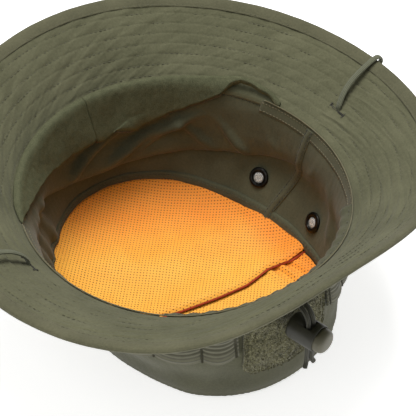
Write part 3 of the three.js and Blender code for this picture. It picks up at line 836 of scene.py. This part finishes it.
def lining():
    columns, rows = 200, 100
    half_x, half_y = 70.9, 88.3
    across = np.sin(np.linspace(-1, 1, columns) * np.pi / 2)
    x = TOP_SHIFT[0] - 0.6 + half_x * 0.999 * across
    rim = half_y * np.sqrt(1 - (0.999 * across) ** 2)
    line = np.interp(x, FOLD_LINE[:, 0], FOLD_LINE[:, 1])
    x = np.repeat(x[:, None], rows, 1)
    for side, sign, lap in (("front", 1, 0), ("back", -1, 7)):
        wall = TOP_SHIFT[1] + sign * rim
        start = np.clip(line + lap, TOP_SHIFT[1] - rim, TOP_SHIFT[1] + rim)
        v = np.linspace(0, 1, rows) ** 1.4
        y = start[:, None] + (wall - start)[:, None] * v
        from_fold = (y - line[:, None]) * sign
        if sign > 0:
            lip = 1.7 * bump(from_fold, 4, 8) - 0.9 * bump(from_fold, 0, 1.4)
            z = lining_height(x, y) + 1.3 + lip
        else:
            gather = np.sin((x - 45.5) * 2 * np.pi / 8) * bump(x, 54, 9) * bump(from_fold, 0, 22)
            z = lining_height(x, y) - 0.9 * bump(from_fold, 0, 5) + 1.3 * gather
        px, py = with_wall(x, y, z)
        top = np.stack([px, py, np.maximum(z, 1.9)], -1)
        if sign < 0:
            top = top[::-1]
        panel = shell(f"lining_{side}", top, top - np.array([0, 0, 0.5]), MESH,
                      uv=top[..., :2])
        stands_for(panel, f"mesh_lining_{side}")
    # A dark red cord along the fold: partly the edge's thread, partly painted shadow cast by the
    # front panel's lip onto the back one.
    x = np.linspace(-62, 69, 160)
    y = np.interp(x, FOLD_LINE[:, 0], FOLD_LINE[:, 1])
    line = np.stack([x, y - 0.3, lining_height(x, y) + 0.95], -1)
    up = np.tile((0, 0, 1.0), (len(x), 1))
    over = np.tile((0, 1.0, 0), (len(x), 1))
    edge = swept("lining_fold_edge_and_shadow", line, over, up, oval(0.5, 0.35, 10), FOLD_THREAD_AND_SHADOW)
    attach(edge, "hat")


def lining_binding():
    angles = np.linspace(0, 360, 300, endpoint=False)
    heights = np.linspace(11, 16.5, 6)
    a, h = grid(angles, heights)
    swell = 0.5 * np.sin(np.pi * (h - 11) / 5.5) + 0.1 * noise(a, h, 8)
    binding = shell("lining_binding", crown(a, h, -CLOTH + 0.1),
                    crown(a, h, -CLOTH - 0.5 - swell), SHADED_CROWN_CLOTH, True)
    stands_for(binding, "lining_seam_binding")
    row = seam_line(crown, angles, 14.5, -CLOTH - 1.1, -1)
    sew("lining_stitches", [row], THREAD, 2.0, 2.8)


# ---- Sweatband, tapes and channel ----

def smooth_rows(points, times):
    """Rounds the bends of each column of points."""
    for _ in range(times):
        middle = (points[:, :-2] + 2 * points[:, 1:-1] + points[:, 2:]) / 4
        points = np.concatenate([points[:, :1], middle, points[:, -1:]], 1)
    return points


def over_head_edge(angle, drop, out):
    """A point at this distance down inside the head seam, or out over the brim's root
    where drop is negative; out is how far it stands off the cloth."""
    inside = below_head(angle, np.maximum(drop, 0.01), -CLOTH - out)
    over = brim(angle, np.maximum(-drop, 0.01), BRIM_TOP + out)
    share = limited(0.5 - drop / 3)[..., None]
    return inside * (1 - share) + over * share


def sweatband():
    threads = []
    seam = SWEATBAND["seam"]
    gap = 0.12
    for side, start, end in (("left", SWEATBAND["from"], seam - gap),
                             ("right", seam + gap, SWEATBAND["to"])):
        angles = np.linspace(start, end, 150)
        shares = np.linspace(0, 1, 44)
        a, v = grid(angles, shares)
        low = np.interp(a, SWEATBAND_DROP[:, 0], SWEATBAND_DROP[:, 1])
        low = low + 1.6 * bump(a, seam - 3, 4) * (a < seam) + 0.25 * np.sin(a * 0.9)
        taper = limited((a - 13.5) / 6) * limited((157 - a) / 8)
        high = -4.2 * taper**0.5 - 0.3 * np.sin(np.radians(a * 4))
        high = high - 3.0 * bump(a, 29, 11)
        drop = high + (low - high) * v
        down = limited(drop / 24)
        lifted = 2.6 * bump(a, 29, 8)
        ease = 0.5 + 2.4 * down**2 + 1.2 * np.sin(np.radians(a * 5 + 20)) * down + lifted
        gape = 1.5 * bump(a, 118, 20) * down
        dimple = 0.5 * bump(a, seam, 1.1) * v
        lump = 0.3 * noise(a * 0.33, drop * 0.22, 4) + 0.1 * noise(a * 1.9, drop, 6)
        rim = np.minimum(drop - high, (low - drop) * 1.6)
        round_off = np.sin(limited(rim / 2.2) * np.pi / 2) ** 0.6
        thick = (0.5 + SWEATBAND["thick"] * round_off) * (0.35 + 0.65 * taper)
        outer = smooth_rows(over_head_edge(a, drop, ease + gape), 3)
        inner = smooth_rows(over_head_edge(a, drop, ease + gape + thick + lump - dimple), 3)
        band = shell(f"sweatband_{side}_fleece", outer, inner, FLEECE)
        weld(band)
        stands_for(band, f"sweatband_{side}")
        keep = (angles > 36) & (angles < 150)
        edge_line = ((inner[:, -1] + outer[:, -1]) / 2)[keep]
        hang = unit((inner[:, -1] - inner[:, -5])[keep])
        through = unit(np.cross(np.gradient(edge_line, axis=0), hang))
        if np.sum(through * edge_line) > 0:
            through = -through
        edge = swept(f"sweatband_{side}_edge", edge_line, through, hang,
                     [(-0.9, -1.0), (-0.95, 0.1), (-0.5, 0.8), (0.5, 0.8), (0.95, 0.1),
                      (0.9, -1.0)], TAPE)
        stands_for(edge, f"sweatband_edge_{side}")
        threads.append((edge_line + through * 0.85 - hang * 0.4, through))
    sew("sweatband_stitches", threads, THREAD, 1.8, 2.5, 0.2)


def head_tapes():
    threads = []
    for side, start, end in (("left", -42, 21), ("right", 157, 222)):
        angles = np.linspace(start, end, 80)
        drops = np.linspace(-0.4, 7, 10)
        a, d = grid(angles, drops)
        puff = 0.12 * np.sin(np.pi * (d + 0.4) / 7.4) + 0.08 * noise(a * 2, d, 9)
        tape = shell(f"head_tape_{side}", below_head(a, d, -CLOTH + 0.15),
                     below_head(a, d, -CLOTH - 0.4 - puff), SHADED_CROWN_CLOTH)
        stands_for(tape, f"head_seam_tape_{side}")
        for drop in (1.3, 5.8):
            threads.append(seam_line(below_head, angles, drop, -CLOTH - 0.55, -1))
    sew("head_tape_stitches", threads, PALE_THREAD, 1.5, 2.2, 0.2)
    line_angles = np.linspace(157, 380, 300)
    line, away = seam_line(below_head, line_angles, -0.9, -CLOTH - 0.5, -1)
    piping = swept("head_seam_piping", line, away, np.tile((0, 0, 1.0), (len(line), 1)),
                   oval(0.36, 0.36, 8), PIPING)
    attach(piping, "hat")


def bare_seam():
    """Two rows of stitches that show where the sweatband pulls away from the head seam."""
    angles = np.linspace(12, 42, 80)
    rows = [seam_line(below_head, angles, drop, -CLOTH - 0.1, -1) for drop in (1.2, 3.6)]
    sew("bare_seam_stitches", rows, DARK_THREAD, 1.5, 2.2, 0.22)


def channel():
    angles = np.linspace(CHANNEL["from"], CHANNEL["to"], 120)
    drops = np.linspace(-0.2, CHANNEL["height"], 22)
    a, d = grid(angles, drops)
    bulge = CHANNEL["bulge"] * np.sin(np.pi * limited(d / CHANNEL["height"]))
    gathers = 0.35 * np.sin(np.radians(a * 60)) * limited(bulge)
    band = shell("adjuster_channel_cloth", below_head(a, d, -CLOTH - 0.6 - bulge),
                 below_head(a, d, -CLOTH - 1.4 - bulge + gathers), SHADED_CROWN_CLOTH)
    stands_for(band, "adjuster_channel")
    threads = [seam_line(below_head, angles, drop, out, -1)
               for drop, out in ((0.9, -CLOTH - 2.3), (10.9, -CLOTH - 2.5))]
    sew("channel_stitches", threads, THREAD)


# ---- Brim ----

STITCH_AT = np.array([5.0 + i * ROW_PITCH for i in range(STITCH_ROWS)])
BRIM_SEAT = BRIM_WIDTH - BINDING


def quilting(angle, along, seed):
    """The brim cloth's relief: drawn down at each row of stitches, puckered beside it."""
    from_row = np.abs(along[..., None] - STITCH_AT).min(-1)
    around = np.radians(angle) * (HEAD[0] + along)
    lean = around + along * 0.55
    drawn = -0.22 * bump(from_row, 0, 0.75)
    pucker = 0.26 * noise(lean * 0.75, along * 0.22, seed) * bump(from_row, 1.4, 2.4)
    quilt = 0.3 * noise(lean * 0.34, along * 0.3, seed + 2)
    slack = 0.3 * noise(around * 0.085, along * 0.11, seed + 1)
    return drawn + pucker + (quilt + slack) * limited(along / 8)


def brim_rows():
    """Distances across the brim, close together beside each row of stitches."""
    offsets = (-2.2, -1.3, -0.7, -0.3, 0, 0.3, 0.7, 1.3, 2.2)
    near_rows = [row + offset for row in STITCH_AT for offset in offsets]
    between = [row + ROW_PITCH / 2 for row in STITCH_AT]
    return np.unique([0.3, 1.2, 2.0, *near_rows, *between, 47.5, 49.5, 51.5, 53.2])


def brim_panels():
    angles = np.linspace(0, 360, 460, endpoint=False)
    a, w = grid(angles, brim_rows())
    relief = quilting(a, w, 21)
    seat = 1 - limited((w - BRIM_SEAT + 1) / 1.5)
    top = brim(a, w, BRIM_TOP - 0.1 + relief * seat)
    inner_back, core_top, core_bottom, outer_back = 0.75, 0.65, 0.3, 0.2
    lower = brim(a, w, inner_back)
    root_a, root_d = grid(angles, [3.0, 2.0, 1.0, 0.3])
    root = below_head(root_a, root_d, -CLOTH - 0.42)
    root_back = below_head(root_a, root_d, -CLOTH - 0.12)
    inner = shell("brim_inner", np.concatenate([root_back, lower], 1),
                  np.concatenate([root, top], 1), BRIM_CLOTH, True)
    outer = shell("brim_outer", brim(a, w, BRIM_BOTTOM + 0.1 - quilting(a, w, 31) * seat),
                  brim(a, w, outer_back), UNDER_CLOTH, True)
    core_a, core_w = grid(angles[::3], np.linspace(1.6, 52, 12))
    core = shell("brim_core", brim(core_a, core_w, core_bottom),
                 brim(core_a, core_w, core_top), INTERLINING, True)
    for panel, node, slot in ((inner, "brim_inner_panel", "brim_cloth"),
                              (outer, "brim_outer_panel", "brim_cloth"),
                              (core, "brim_interlining", "interlining")):
        stands_for(panel, node)


def brim_threads():
    angles = np.linspace(0, 360, 1000)
    for name, lift, step in (("inner", BRIM_TOP - 0.3, 1), ("outer", BRIM_BOTTOM + 0.3, -1)):
        rows = [seam_line(brim, angles, row, lift, step) for row in STITCH_AT]
        sew(f"brim_stitches_{name}", rows, BRIM_THREAD, 2.1, 2.9, 0.19)
    bound = [seam_line(brim, angles, BRIM_SEAT + 1.2, lift, step)
             for lift, step in ((BRIM_TOP + 0.5, 1), (BRIM_BOTTOM - 0.5, -1))]
    sew("binding_stitches", bound, BRIM_THREAD, 2.1, 2.9, 0.2)


def edge_binding():
    """A folded strip round the rim, puckered along its stitched edge."""
    angles = np.linspace(0, 360, 460, endpoint=False)
    half = [(0.0, 1.05), (0.25, 1.5), (0.7, 1.62), (1.2, 1.5), (1.8, 1.64), (3.2, 1.72),
            (5.0, 1.68), (6.6, 1.5), (7.5, 1.1), (8.0, 0.55)]
    section = np.array(half + [(8.15, 0.0)] + [(w, -h) for w, h in reversed(half)])
    a, w = grid(angles, section[:, 0] + BRIM_SEAT)
    h = grid(angles, section[:, 1])[1]
    around = np.radians(a) * (HEAD[0] + BRIM_WIDTH)
    pucker = 0.14 * noise(around * 0.8, w * 0.3, 41) * bump(w - BRIM_SEAT, 1.5, 3)
    middle = (BRIM_TOP + BRIM_BOTTOM) / 2
    skin = brim(a, w + 0.12 * noise(around * 0.3, 0 * w, 42), middle + h + np.sign(h) * pucker)
    inside_w = np.minimum(w, BRIM_WIDTH - 0.55)
    squeeze = np.where(w > BRIM_WIDTH - 0.6, 0.5, 1)
    inside = brim(a, inside_w, middle + np.clip(h, -1.02, 1.02) * squeeze)
    binding = shell("brim_binding", inside, skin, BINDING_CLOTH, True)
    stands_for(binding, "brim_edge_binding")


def smooth_line(points, count):
    """A line through the points, with count points along it."""
    points = np.array(points, float)
    padded = np.concatenate([2 * points[:1] - points[1:2], points, 2 * points[-1:] - points[-2:-1]])
    t = np.linspace(0, len(points) - 1 - 1e-6, count)
    i = t.astype(int)
    return between(*(padded[i + k] for k in range(4)), (t - i)[:, None])


def frames_along(line, hint):
    """Across and up directions along a line, across as near to the hint as can be."""
    along = unit(np.gradient(line, axis=0))
    up = unit(np.cross(along, np.broadcast_to(hint, line.shape)))
    return np.cross(up, along), up


def oval(half_width, half_height, sides=12):
    turn = np.arange(sides) * 2 * np.pi / sides
    return [(half_width * math.cos(t), half_height * math.sin(t)) for t in turn]


def tack(name, line, normals, width, thread_material):
    """A bartack: close stitches laid across a line."""
    rows = []
    far = distances(line)
    for i, s in enumerate(np.arange(0.2, far[-1], 0.42)):
        centre, ahead, behind = (part_way(at, far, line) for at in (s, s + 0.3, s - 0.3))
        normal = part_way(s, far, normals)
        side = unit(np.cross(ahead - behind, normal)) * width / 2
        lean = (ahead - behind) * (0.25 if i % 2 else -0.25)
        rows.append((np.array([centre - side - lean, centre + side + lean]),
                     np.array([normal, normal])))
    return stitches(name, rows, thread_material, width, width, 0.24)


# Each loop's way from its slit, over the rim and back under the brim: how far along the
# brim, how far above its middle, and how far sideways.
LOOP_ROUTE = {
    "left": [(17.5, 0.8, 0), (18.1, 2.2, 0.1), (19.6, 3.4, 0.4), (23, 4.6, 1.6), (28, 5.4, 3.2),
             (34, 5.6, 4.4), (41, 5.2, 5), (47, 4.6, 5.2), (52, 4, 5.2), (55.4, 2.6, 5.2),
             (56.6, 0, 5.2), (55.4, -2.6, 5.2), (51, -4.4, 5), (42, -5.2, 4.4), (32, -5.2, 3.4),
             (25, -4.2, 2), (20, -3, 0.4), (18, -1.4, 0)],
    "right": [(13.5, 1.0, 0), (14.2, 2.8, 0), (16, 4.4, -0.6), (20, 6.0, -1.8), (26, 6.8, -3),
              (33, 6.6, -3.4), (40, 5.6, -2.4), (47, 4.6, -1.2), (52, 4.2, -0.4),
              (55.4, 2.8, 0), (56.6, 0, 0), (55.4, -2.8, 0), (51, -4.6, -0.4),
              (42, -5.4, -1.6), (32, -5.6, -2.6), (22, -4.6, -1.6), (16, -3.2, -0.4),
              (14, -1.6, 0)]}
LOOP_ANGLES = {"left": -3.4, "right": 178.0}
DEGREES_PER_MM = 180 / math.pi / 105


def brim_loops():
    for side, angle in LOOP_ANGLES.items():
        route = np.array(LOOP_ROUTE[side], float)
        points = brim(angle + route[:, 2] * DEGREES_PER_MM, route[:, 0], route[:, 1])
        line = smooth_line(points, 150)
        around = np.array([-math.sin(math.radians(angle)), math.cos(math.radians(angle)), 0])
        across, up = frames_along(line, around)
        loop = swept(f"loop_{side}", line, across, up, oval(1.75, 0.75, 14), ELASTIC)
        stands_for(loop, f"brim_loop_{side}")
        middle = route[0, 0] - 0.9
        shifts = np.linspace(-5.2, 5.2, 24)
        slit = seam_line(brim, angle + shifts * DEGREES_PER_MM, middle, BRIM_TOP + 0.05)
        sewn = tack(f"loop_{side}_bartack", *slit, 1.9, DARK_THREAD)
        stands_for(sewn, f"loop_bartack_{side}")
        across_slit = middle + np.linspace(-1.8, 1.8, 6)
        for i, shift in enumerate((-5.6, 5.6)):
            end = seam_line(brim, angle + shift * DEGREES_PER_MM, across_slit, BRIM_TOP + 0.05)
            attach(tack(f"loop_{side}_bartack_end_{i}", *end, 1.5, DARK_THREAD), "hat")


# ---- Outside of the crown ----

def ring_outline(x, z, corner, count=120):
    """A rounded rectangle as points round it, from the middle of its right side."""
    (x0, x1), (z0, z1) = x, z
    points = []
    for cx, cz, start in ((x1 - corner, z1 - corner, 0), (x0 + corner, z1 - corner, 90),
                          (x0 + corner, z0 + corner, 180), (x1 - corner, z0 + corner, 270)):
        for turn in np.radians(np.linspace(start, start + 90, 12)):
            points.append((cx + corner * math.cos(turn), cz + corner * math.sin(turn)))
    points = np.array(points + points[:1])
    far = distances(points)
    return part_way(np.linspace(0, far[-1], count, endpoint=False), far, points)


def back_wall(x, z, out):
    """The place on the back of the crown with these sideways and height coordinates."""
    x, z, out = spread(x, z, out)
    half_x = along_table(z, CROWN_PROFILE)[0]
    middle = TOP_SHIFT[0] * (1 - z / CROWN_HEIGHT)
    angle = 360 - np.degrees(np.arccos(np.clip((x - middle) / half_x, -1, 1)))
    lift = compass(angle)[0] * (z / CROWN_HEIGHT) ** 2
    return crown(angle, z - lift, out)


def patch():
    outline = ring_outline(PATCH["x"], PATCH["z"], PATCH["corner"])
    centre = outline.mean(0)
    shares = np.concatenate([[0.01], np.linspace(0.05, 0.93, 26), [0.955, 0.975, 0.99, 1]])
    i, s = grid(np.arange(len(outline)), shares)
    at = centre + (outline[i.astype(int)] - centre) * s[..., None]
    edge = limited((1 - s) / 0.045)
    stitched = 0.925
    groove = 0.5 * bump(s, stitched, 0.012)
    pile = 0.16 * noise(at[..., 0] * 1.4, at[..., 1] * 1.4, 51)
    out = STAND_OFF + PATCH["thick"] * (0.35 + 0.65 * np.sin(edge * np.pi / 2)) - groove + pile
    x, z = at[..., 0], at[..., 1]
    face, under = (back_wall(x, z, lift) for lift in (out, 0.25))
    panel = shell("patch_panel", under, face, PILE, True, at)
    close_middle(panel, len(outline), len(shares))
    stands_for(panel, "patch_panel_back")
    ring = centre + (np.concatenate([outline, outline[:1]]) - centre) * stitched
    row = seam_line(back_wall, *ring.T, STAND_OFF + PATCH["thick"] - 0.4)
    sew("patch_stitches", [row], THREAD, 2.2, 3.0)
    fuzz(centre, outline)


def fuzz(centre, outline):
    """Short loops of pile standing on the patch."""
    rng = np.random.default_rng(7)
    count = 7000
    pick = rng.integers(0, len(outline), count)
    share = np.sqrt(rng.uniform(0, 1, count)) * 0.99
    at = centre + (outline[pick] - centre) * share[:, None] + rng.normal(0, 0.4, (count, 2))
    foot, normal = seam_line(back_wall, *at.T, STAND_OFF + PATCH["thick"] - 0.25)
    side = unit(np.cross(normal, rng.normal(0, 1, (count, 3)))) * 0.16
    lean = np.cross(side, normal) * rng.uniform(-3, 3, (count, 1))
    high = rng.uniform(0.5, 1.0, (count, 1))
    middle = foot + normal * high * 0.6 + lean * 0.5
    end = foot + normal * high + lean * 1.1
    points = np.stack([foot - side, foot + side, middle + side, middle - side, end], 1)
    base = np.arange(count)[:, None] * 5
    faces = (base + [0, 1, 2, 3]).tolist() + (base + [3, 2, 4]).tolist()
    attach(make("patch_pile", points, faces, PILE, np.repeat(at, 5, 0)), "hat")


BAND_ENDS = {"left": (288, 449.6), "right": (90.4, 246.6)}
BAND_TACKS = {"left": (289.2, 299.5, 319, 338, 358, 378, 398, 418, 434, 448.6),
              "right": (91.4, 106, 124, 143, 163, 182, 201, 217, 233.5, 245.4)}


def foliage_bands():
    for side, (start, end) in BAND_ENDS.items():
        tacks = np.array(BAND_TACKS[side])
        angles = np.linspace(start, end, 330)
        shares = np.linspace(0, 1, 44)
        a, v = grid(angles, shares)
        span = np.clip(np.searchsorted(tacks, a) - 1, 0, len(tacks) - 2)
        width = tacks[span + 1] - tacks[span]
        part = limited((a - tacks[span]) / width)
        bow = np.sin(np.pi * part) ** 0.75
        belly = 0.5 + 0.5 * np.sin(np.pi * limited(v * 0.9 + 0.1))
        ribs = 0.24 * np.cos(v * 2 * np.pi * 10 + 0.5 * noise(a * 0.35, v * 3, 63))
        nap = 0.05 * noise(a * 4, v * 30, 61)
        out = STAND_OFF + bow * (0.6 + 1.1 * belly) + 0.2 * np.sin(np.radians(a * 9)) * bow
        sag = 2.6 * (1 - bow) + 0.5 * noise(a * 0.35, v, 62)
        drop = BAND["drop"] + v * (BAND["height"] - sag)
        edge = np.minimum(v, 1 - v)
        thick = BAND["thick"] * (0.55 + 0.45 * limited(edge / 0.03))
        face = below_head(a, drop, out + thick + ribs * limited(edge / 0.05) + nap)
        under = below_head(a, drop, out)
        band = shell(f"foliage_band_{side}_webbing", face, under, WEBBING)
        stands_for(band, f"foliage_band_{side}")
        drops = np.linspace(BAND["drop"] + 1.6, BAND["drop"] + BAND["height"] - 2.6, 16)
        for i, at in enumerate(tacks):
            row = seam_line(below_head, at, drops, STAND_OFF + BAND["thick"] + 0.55)
            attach(tack(f"foliage_band_{side}_tack_{i}", *row, 1.7, THREAD), "hat")


def exit_patch():
    """The stitched reinforcement round the opening that the adjuster cords come out of."""
    x, z = EXIT["x"], EXIT["z"]
    count = 96
    outer = ring_outline((x - 7, x + 7), (z - 5, z + 3.4), 2.2, count)
    half = (EXIT["width"] / 2 + 0.1, EXIT["tall"] / 2 + 0.1)
    slot = ring_outline((x - half[0], x + half[0]), (z - half[1], z + half[1]), 1.2, count)
    shares = np.linspace(0, 1, 12)
    i, s = grid(np.arange(count), shares)
    i = i.astype(int)
    at = slot[i] * (1 - s[..., None]) + outer[i] * s[..., None]
    edge = limited(np.minimum(s, 1 - s) / 0.12)
    face = back_wall(at[..., 0], at[..., 1], 0.7 + 0.75 * np.sin(edge * np.pi / 2))
    under = back_wall(at[..., 0], at[..., 1], 0.15)
    edging = shell("cord_exit_frame", under, face, SHADED_CROWN_CLOTH, True, at)
    stands_for(edging, "cord_exit_patch")
    rows = []
    for share in (0.3, 0.8):
        ring = slot * (1 - share) + outer * share
        rows.append(seam_line(back_wall, *np.concatenate([ring, ring[:1]]).T, 1.5))
    sew("cord_exit_stitches", rows, THREAD, 1.5, 1.9, 0.2)


# ---- Adjuster cords and lock ----

def inner_cords():
    depth = -CLOTH - 0.6 - CORD_WIDTH / 2
    for side, sign in (("left", 1), ("right", -1)):
        exit_angle = 270 + math.degrees(EXIT["x"] / HEAD[0])
        angles = exit_angle + sign * np.array([41, 36, 30, 24, 18, 12, 7.5, 4.0])
        channel_line = below_head(angles, CHANNEL["height"] / 2 + 0.3, depth)
        y = channel_line[-1, 1]
        turn_out = [(EXIT["x"] + sign * (CORD_SPREAD + 1.2), y - 0.9, EXIT["z"]),
                    (EXIT["x"] + sign * CORD_SPREAD, y - 2.8, EXIT["z"]),
                    (EXIT["x"] + sign * CORD_SPREAD, -96.2, EXIT["z"])]
        line = smooth_line(np.concatenate([channel_line, turn_out]), 90)
        across, up = frames_along(line, (0, 0, 1.0))
        cord = swept(f"adjuster_cord_{side}_inner", line, across, up, oval(1.3, 1.3), CORD)
        stands_for(cord, f"adjuster_cord_inner_{side}")


# How far each tail's cut end strays sideways and outward, below where the lock can reach.
TAIL_STRAY = {"left": (1.6, -0.5), "right": (-2.0, -1.2)}


def cord_tails(on_cords):
    """Flat braided elastic, free from the exit under the brim to its cut ends."""
    for side, sign in (("left", 1), ("right", -1)):
        route = np.array([(EXIT["x"] + sign * CORD_SPREAD, y, z) for y, z in TAIL_ROUTE])
        below = limited((46.5 - route[:, 2]) / 4)
        route[:, :2] += below[:, None] * TAIL_STRAY[side]
        line = smooth_line(route, 110)
        across, up = frames_along(line, (1.0, 0, 0))
        name = f"adjuster_cord_{side}_tail"
        tail = swept(name, line, across, up, oval(1.4, 1.05), CORD)
        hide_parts(f"adjuster_cord_tail_{side}")
        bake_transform(tail)


def lock_turn():
    """Turns a piece drawn along +Y to point out of the lock's mouth."""
    a = math.pi + LOCK_TILT
    return np.array([[math.cos(a), -math.sin(a), 0], [math.sin(a), math.cos(a), 0], [0, 0, 1]])


def slot_cutter(start, end):
    """The upright slot through the lock for both cords; start and end are along the lock."""
    half = CORD_SPREAD + CORD_WIDTH / 2 + 0.5
    return cutter((-half, half), (start, end), (-20, 20), lock_turn(), LOCK_AT)


def lock():
    reach = CORD_WIDTH / 2 + 0.75
    turn = lock_turn()
    barrel_outline = [
        (0, -11.5), (4.8, -11.5), (6.1, -11.35), (7.0, -10.9), (7.4, -10.2), (7.55, -9.4),
        (7.55, 5.3), (7.45, 5.7), (7.2, 6.0), (7.05, 6.0), (6.95, 5.8), (6.95, -10.2),
        (6.5, -10.6), (0, -10.6)]
    barrel = lathe("lock_barrel", barrel_outline, BARREL, 72, turn, LOCK_AT)
    drilled(barrel, [slot_cutter(-reach, reach)])
    plunger_outline = [
        (0, -3.2), (5.1, -3.2), (5.1, -6.2), (6.3, -6.2), (6.7, -5.8), (6.7, 7.9), (6.6, 8.8),
        (6.3, 9.7), (5.7, 10.4), (4.8, 10.95), (3.4, 11.3), (1.8, 11.45), (0, 11.5)]
    # The button's lighter plastic is partly a painted highlight on its domed end.
    plunger = lathe("lock_button", plunger_outline, PLUNGER, 72, turn, LOCK_AT)
    drilled(plunger, [slot_cutter(-reach, reach + 4.2)])
    spring_end, spring_start = -3.9, -10.0
    turns, coil_radius, wire_radius = 4, 4.2, 0.4
    t = np.linspace(0, 1, 220)
    angle = t * turns * 2 * math.pi
    along = spring_start + (spring_end - spring_start) * t
    coil = np.stack([coil_radius * np.cos(angle), along, coil_radius * np.sin(angle)], -1)
    coil = coil @ turn.T + np.array(LOCK_AT)
    across, up = frames_along(coil, turn @ np.array([0, 1.0, 0]))
    spring = swept("lock_spring", coil, across, up, oval(wire_radius, wire_radius, 10),
                   SPRING_STEEL)
    stands_for(barrel, "cord_lock_barrel", "cord_lock")
    stands_for(plunger, "cord_lock_plunger", "lock_plunger")
    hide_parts("cord_lock_spring")
    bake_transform(spring)
    return [barrel, plunger, spring]


# ---- Floor, light and camera ----

def light_table():
    """A pale floor that glows a little, so that no hard shadow lies on it."""
    s = Surface("floor", 0.9, specular=0.1)
    s.shader.inputs["Base Color"].default_value = linear(250, 250, 250)
    s.shader.inputs["Emission Color"].default_value = (1, 1, 1, 1)
    s.shader.inputs["Emission Strength"].default_value = 0.68
    return s.material


def aimed(data, place, target):
    """Places a lamp or camera so that it looks at the target."""
    obj = bpy.data.objects.new(data.name, data)
    obj.location = place
    obj.rotation_euler = (Vector(target) - Vector(place)).to_track_quat("-Z", "Y").to_euler()
    bpy.context.collection.objects.link(obj)
    return obj


def studio():
    size = 3000
    corners = [(x * size, y * size, -0.3) for x, y in ((-1, -1), (1, -1), (1, 1), (-1, 1))]
    make("floor", corners, [(0, 1, 2, 3)], light_table())
    world = bpy.data.worlds.new("studio")
    world.use_nodes = True
    background = world.node_tree.nodes["Background"]
    background.inputs["Color"].default_value = (1, 1, 1, 1)
    background.inputs["Strength"].default_value = 0.34
    bpy.context.scene.world = world
    for name, place, width, power in (
            ("key", (0.26, 0.42, 2.0), 1.15, 42), ("fill", (-1.3, -0.2, 1.5), 1.2, 5)):
        data = bpy.data.lights.new(name, "AREA")
        data.size = width
        data.energy = power
        aimed(data, place, (0, 0, 0.05))
    data = bpy.data.cameras.new("camera")
    data.lens = 150
    bpy.context.scene.camera = aimed(data, (-0.4113, -0.5282, 0.7425), (0.0174, 0.0018, 0.0584))
    bpy.context.scene.view_settings.view_transform = "Standard"


crown_top()
crown_walls()
side_seams()
eyelets()
lining()
lining_binding()
head_tapes()
bare_seam()
channel()
brim_panels()
brim_threads()
edge_binding()
sweatband()
brim_loops()
patch()
foliage_bands()
exit_patch()
inner_cords()
cord_tails(lock())
studio()
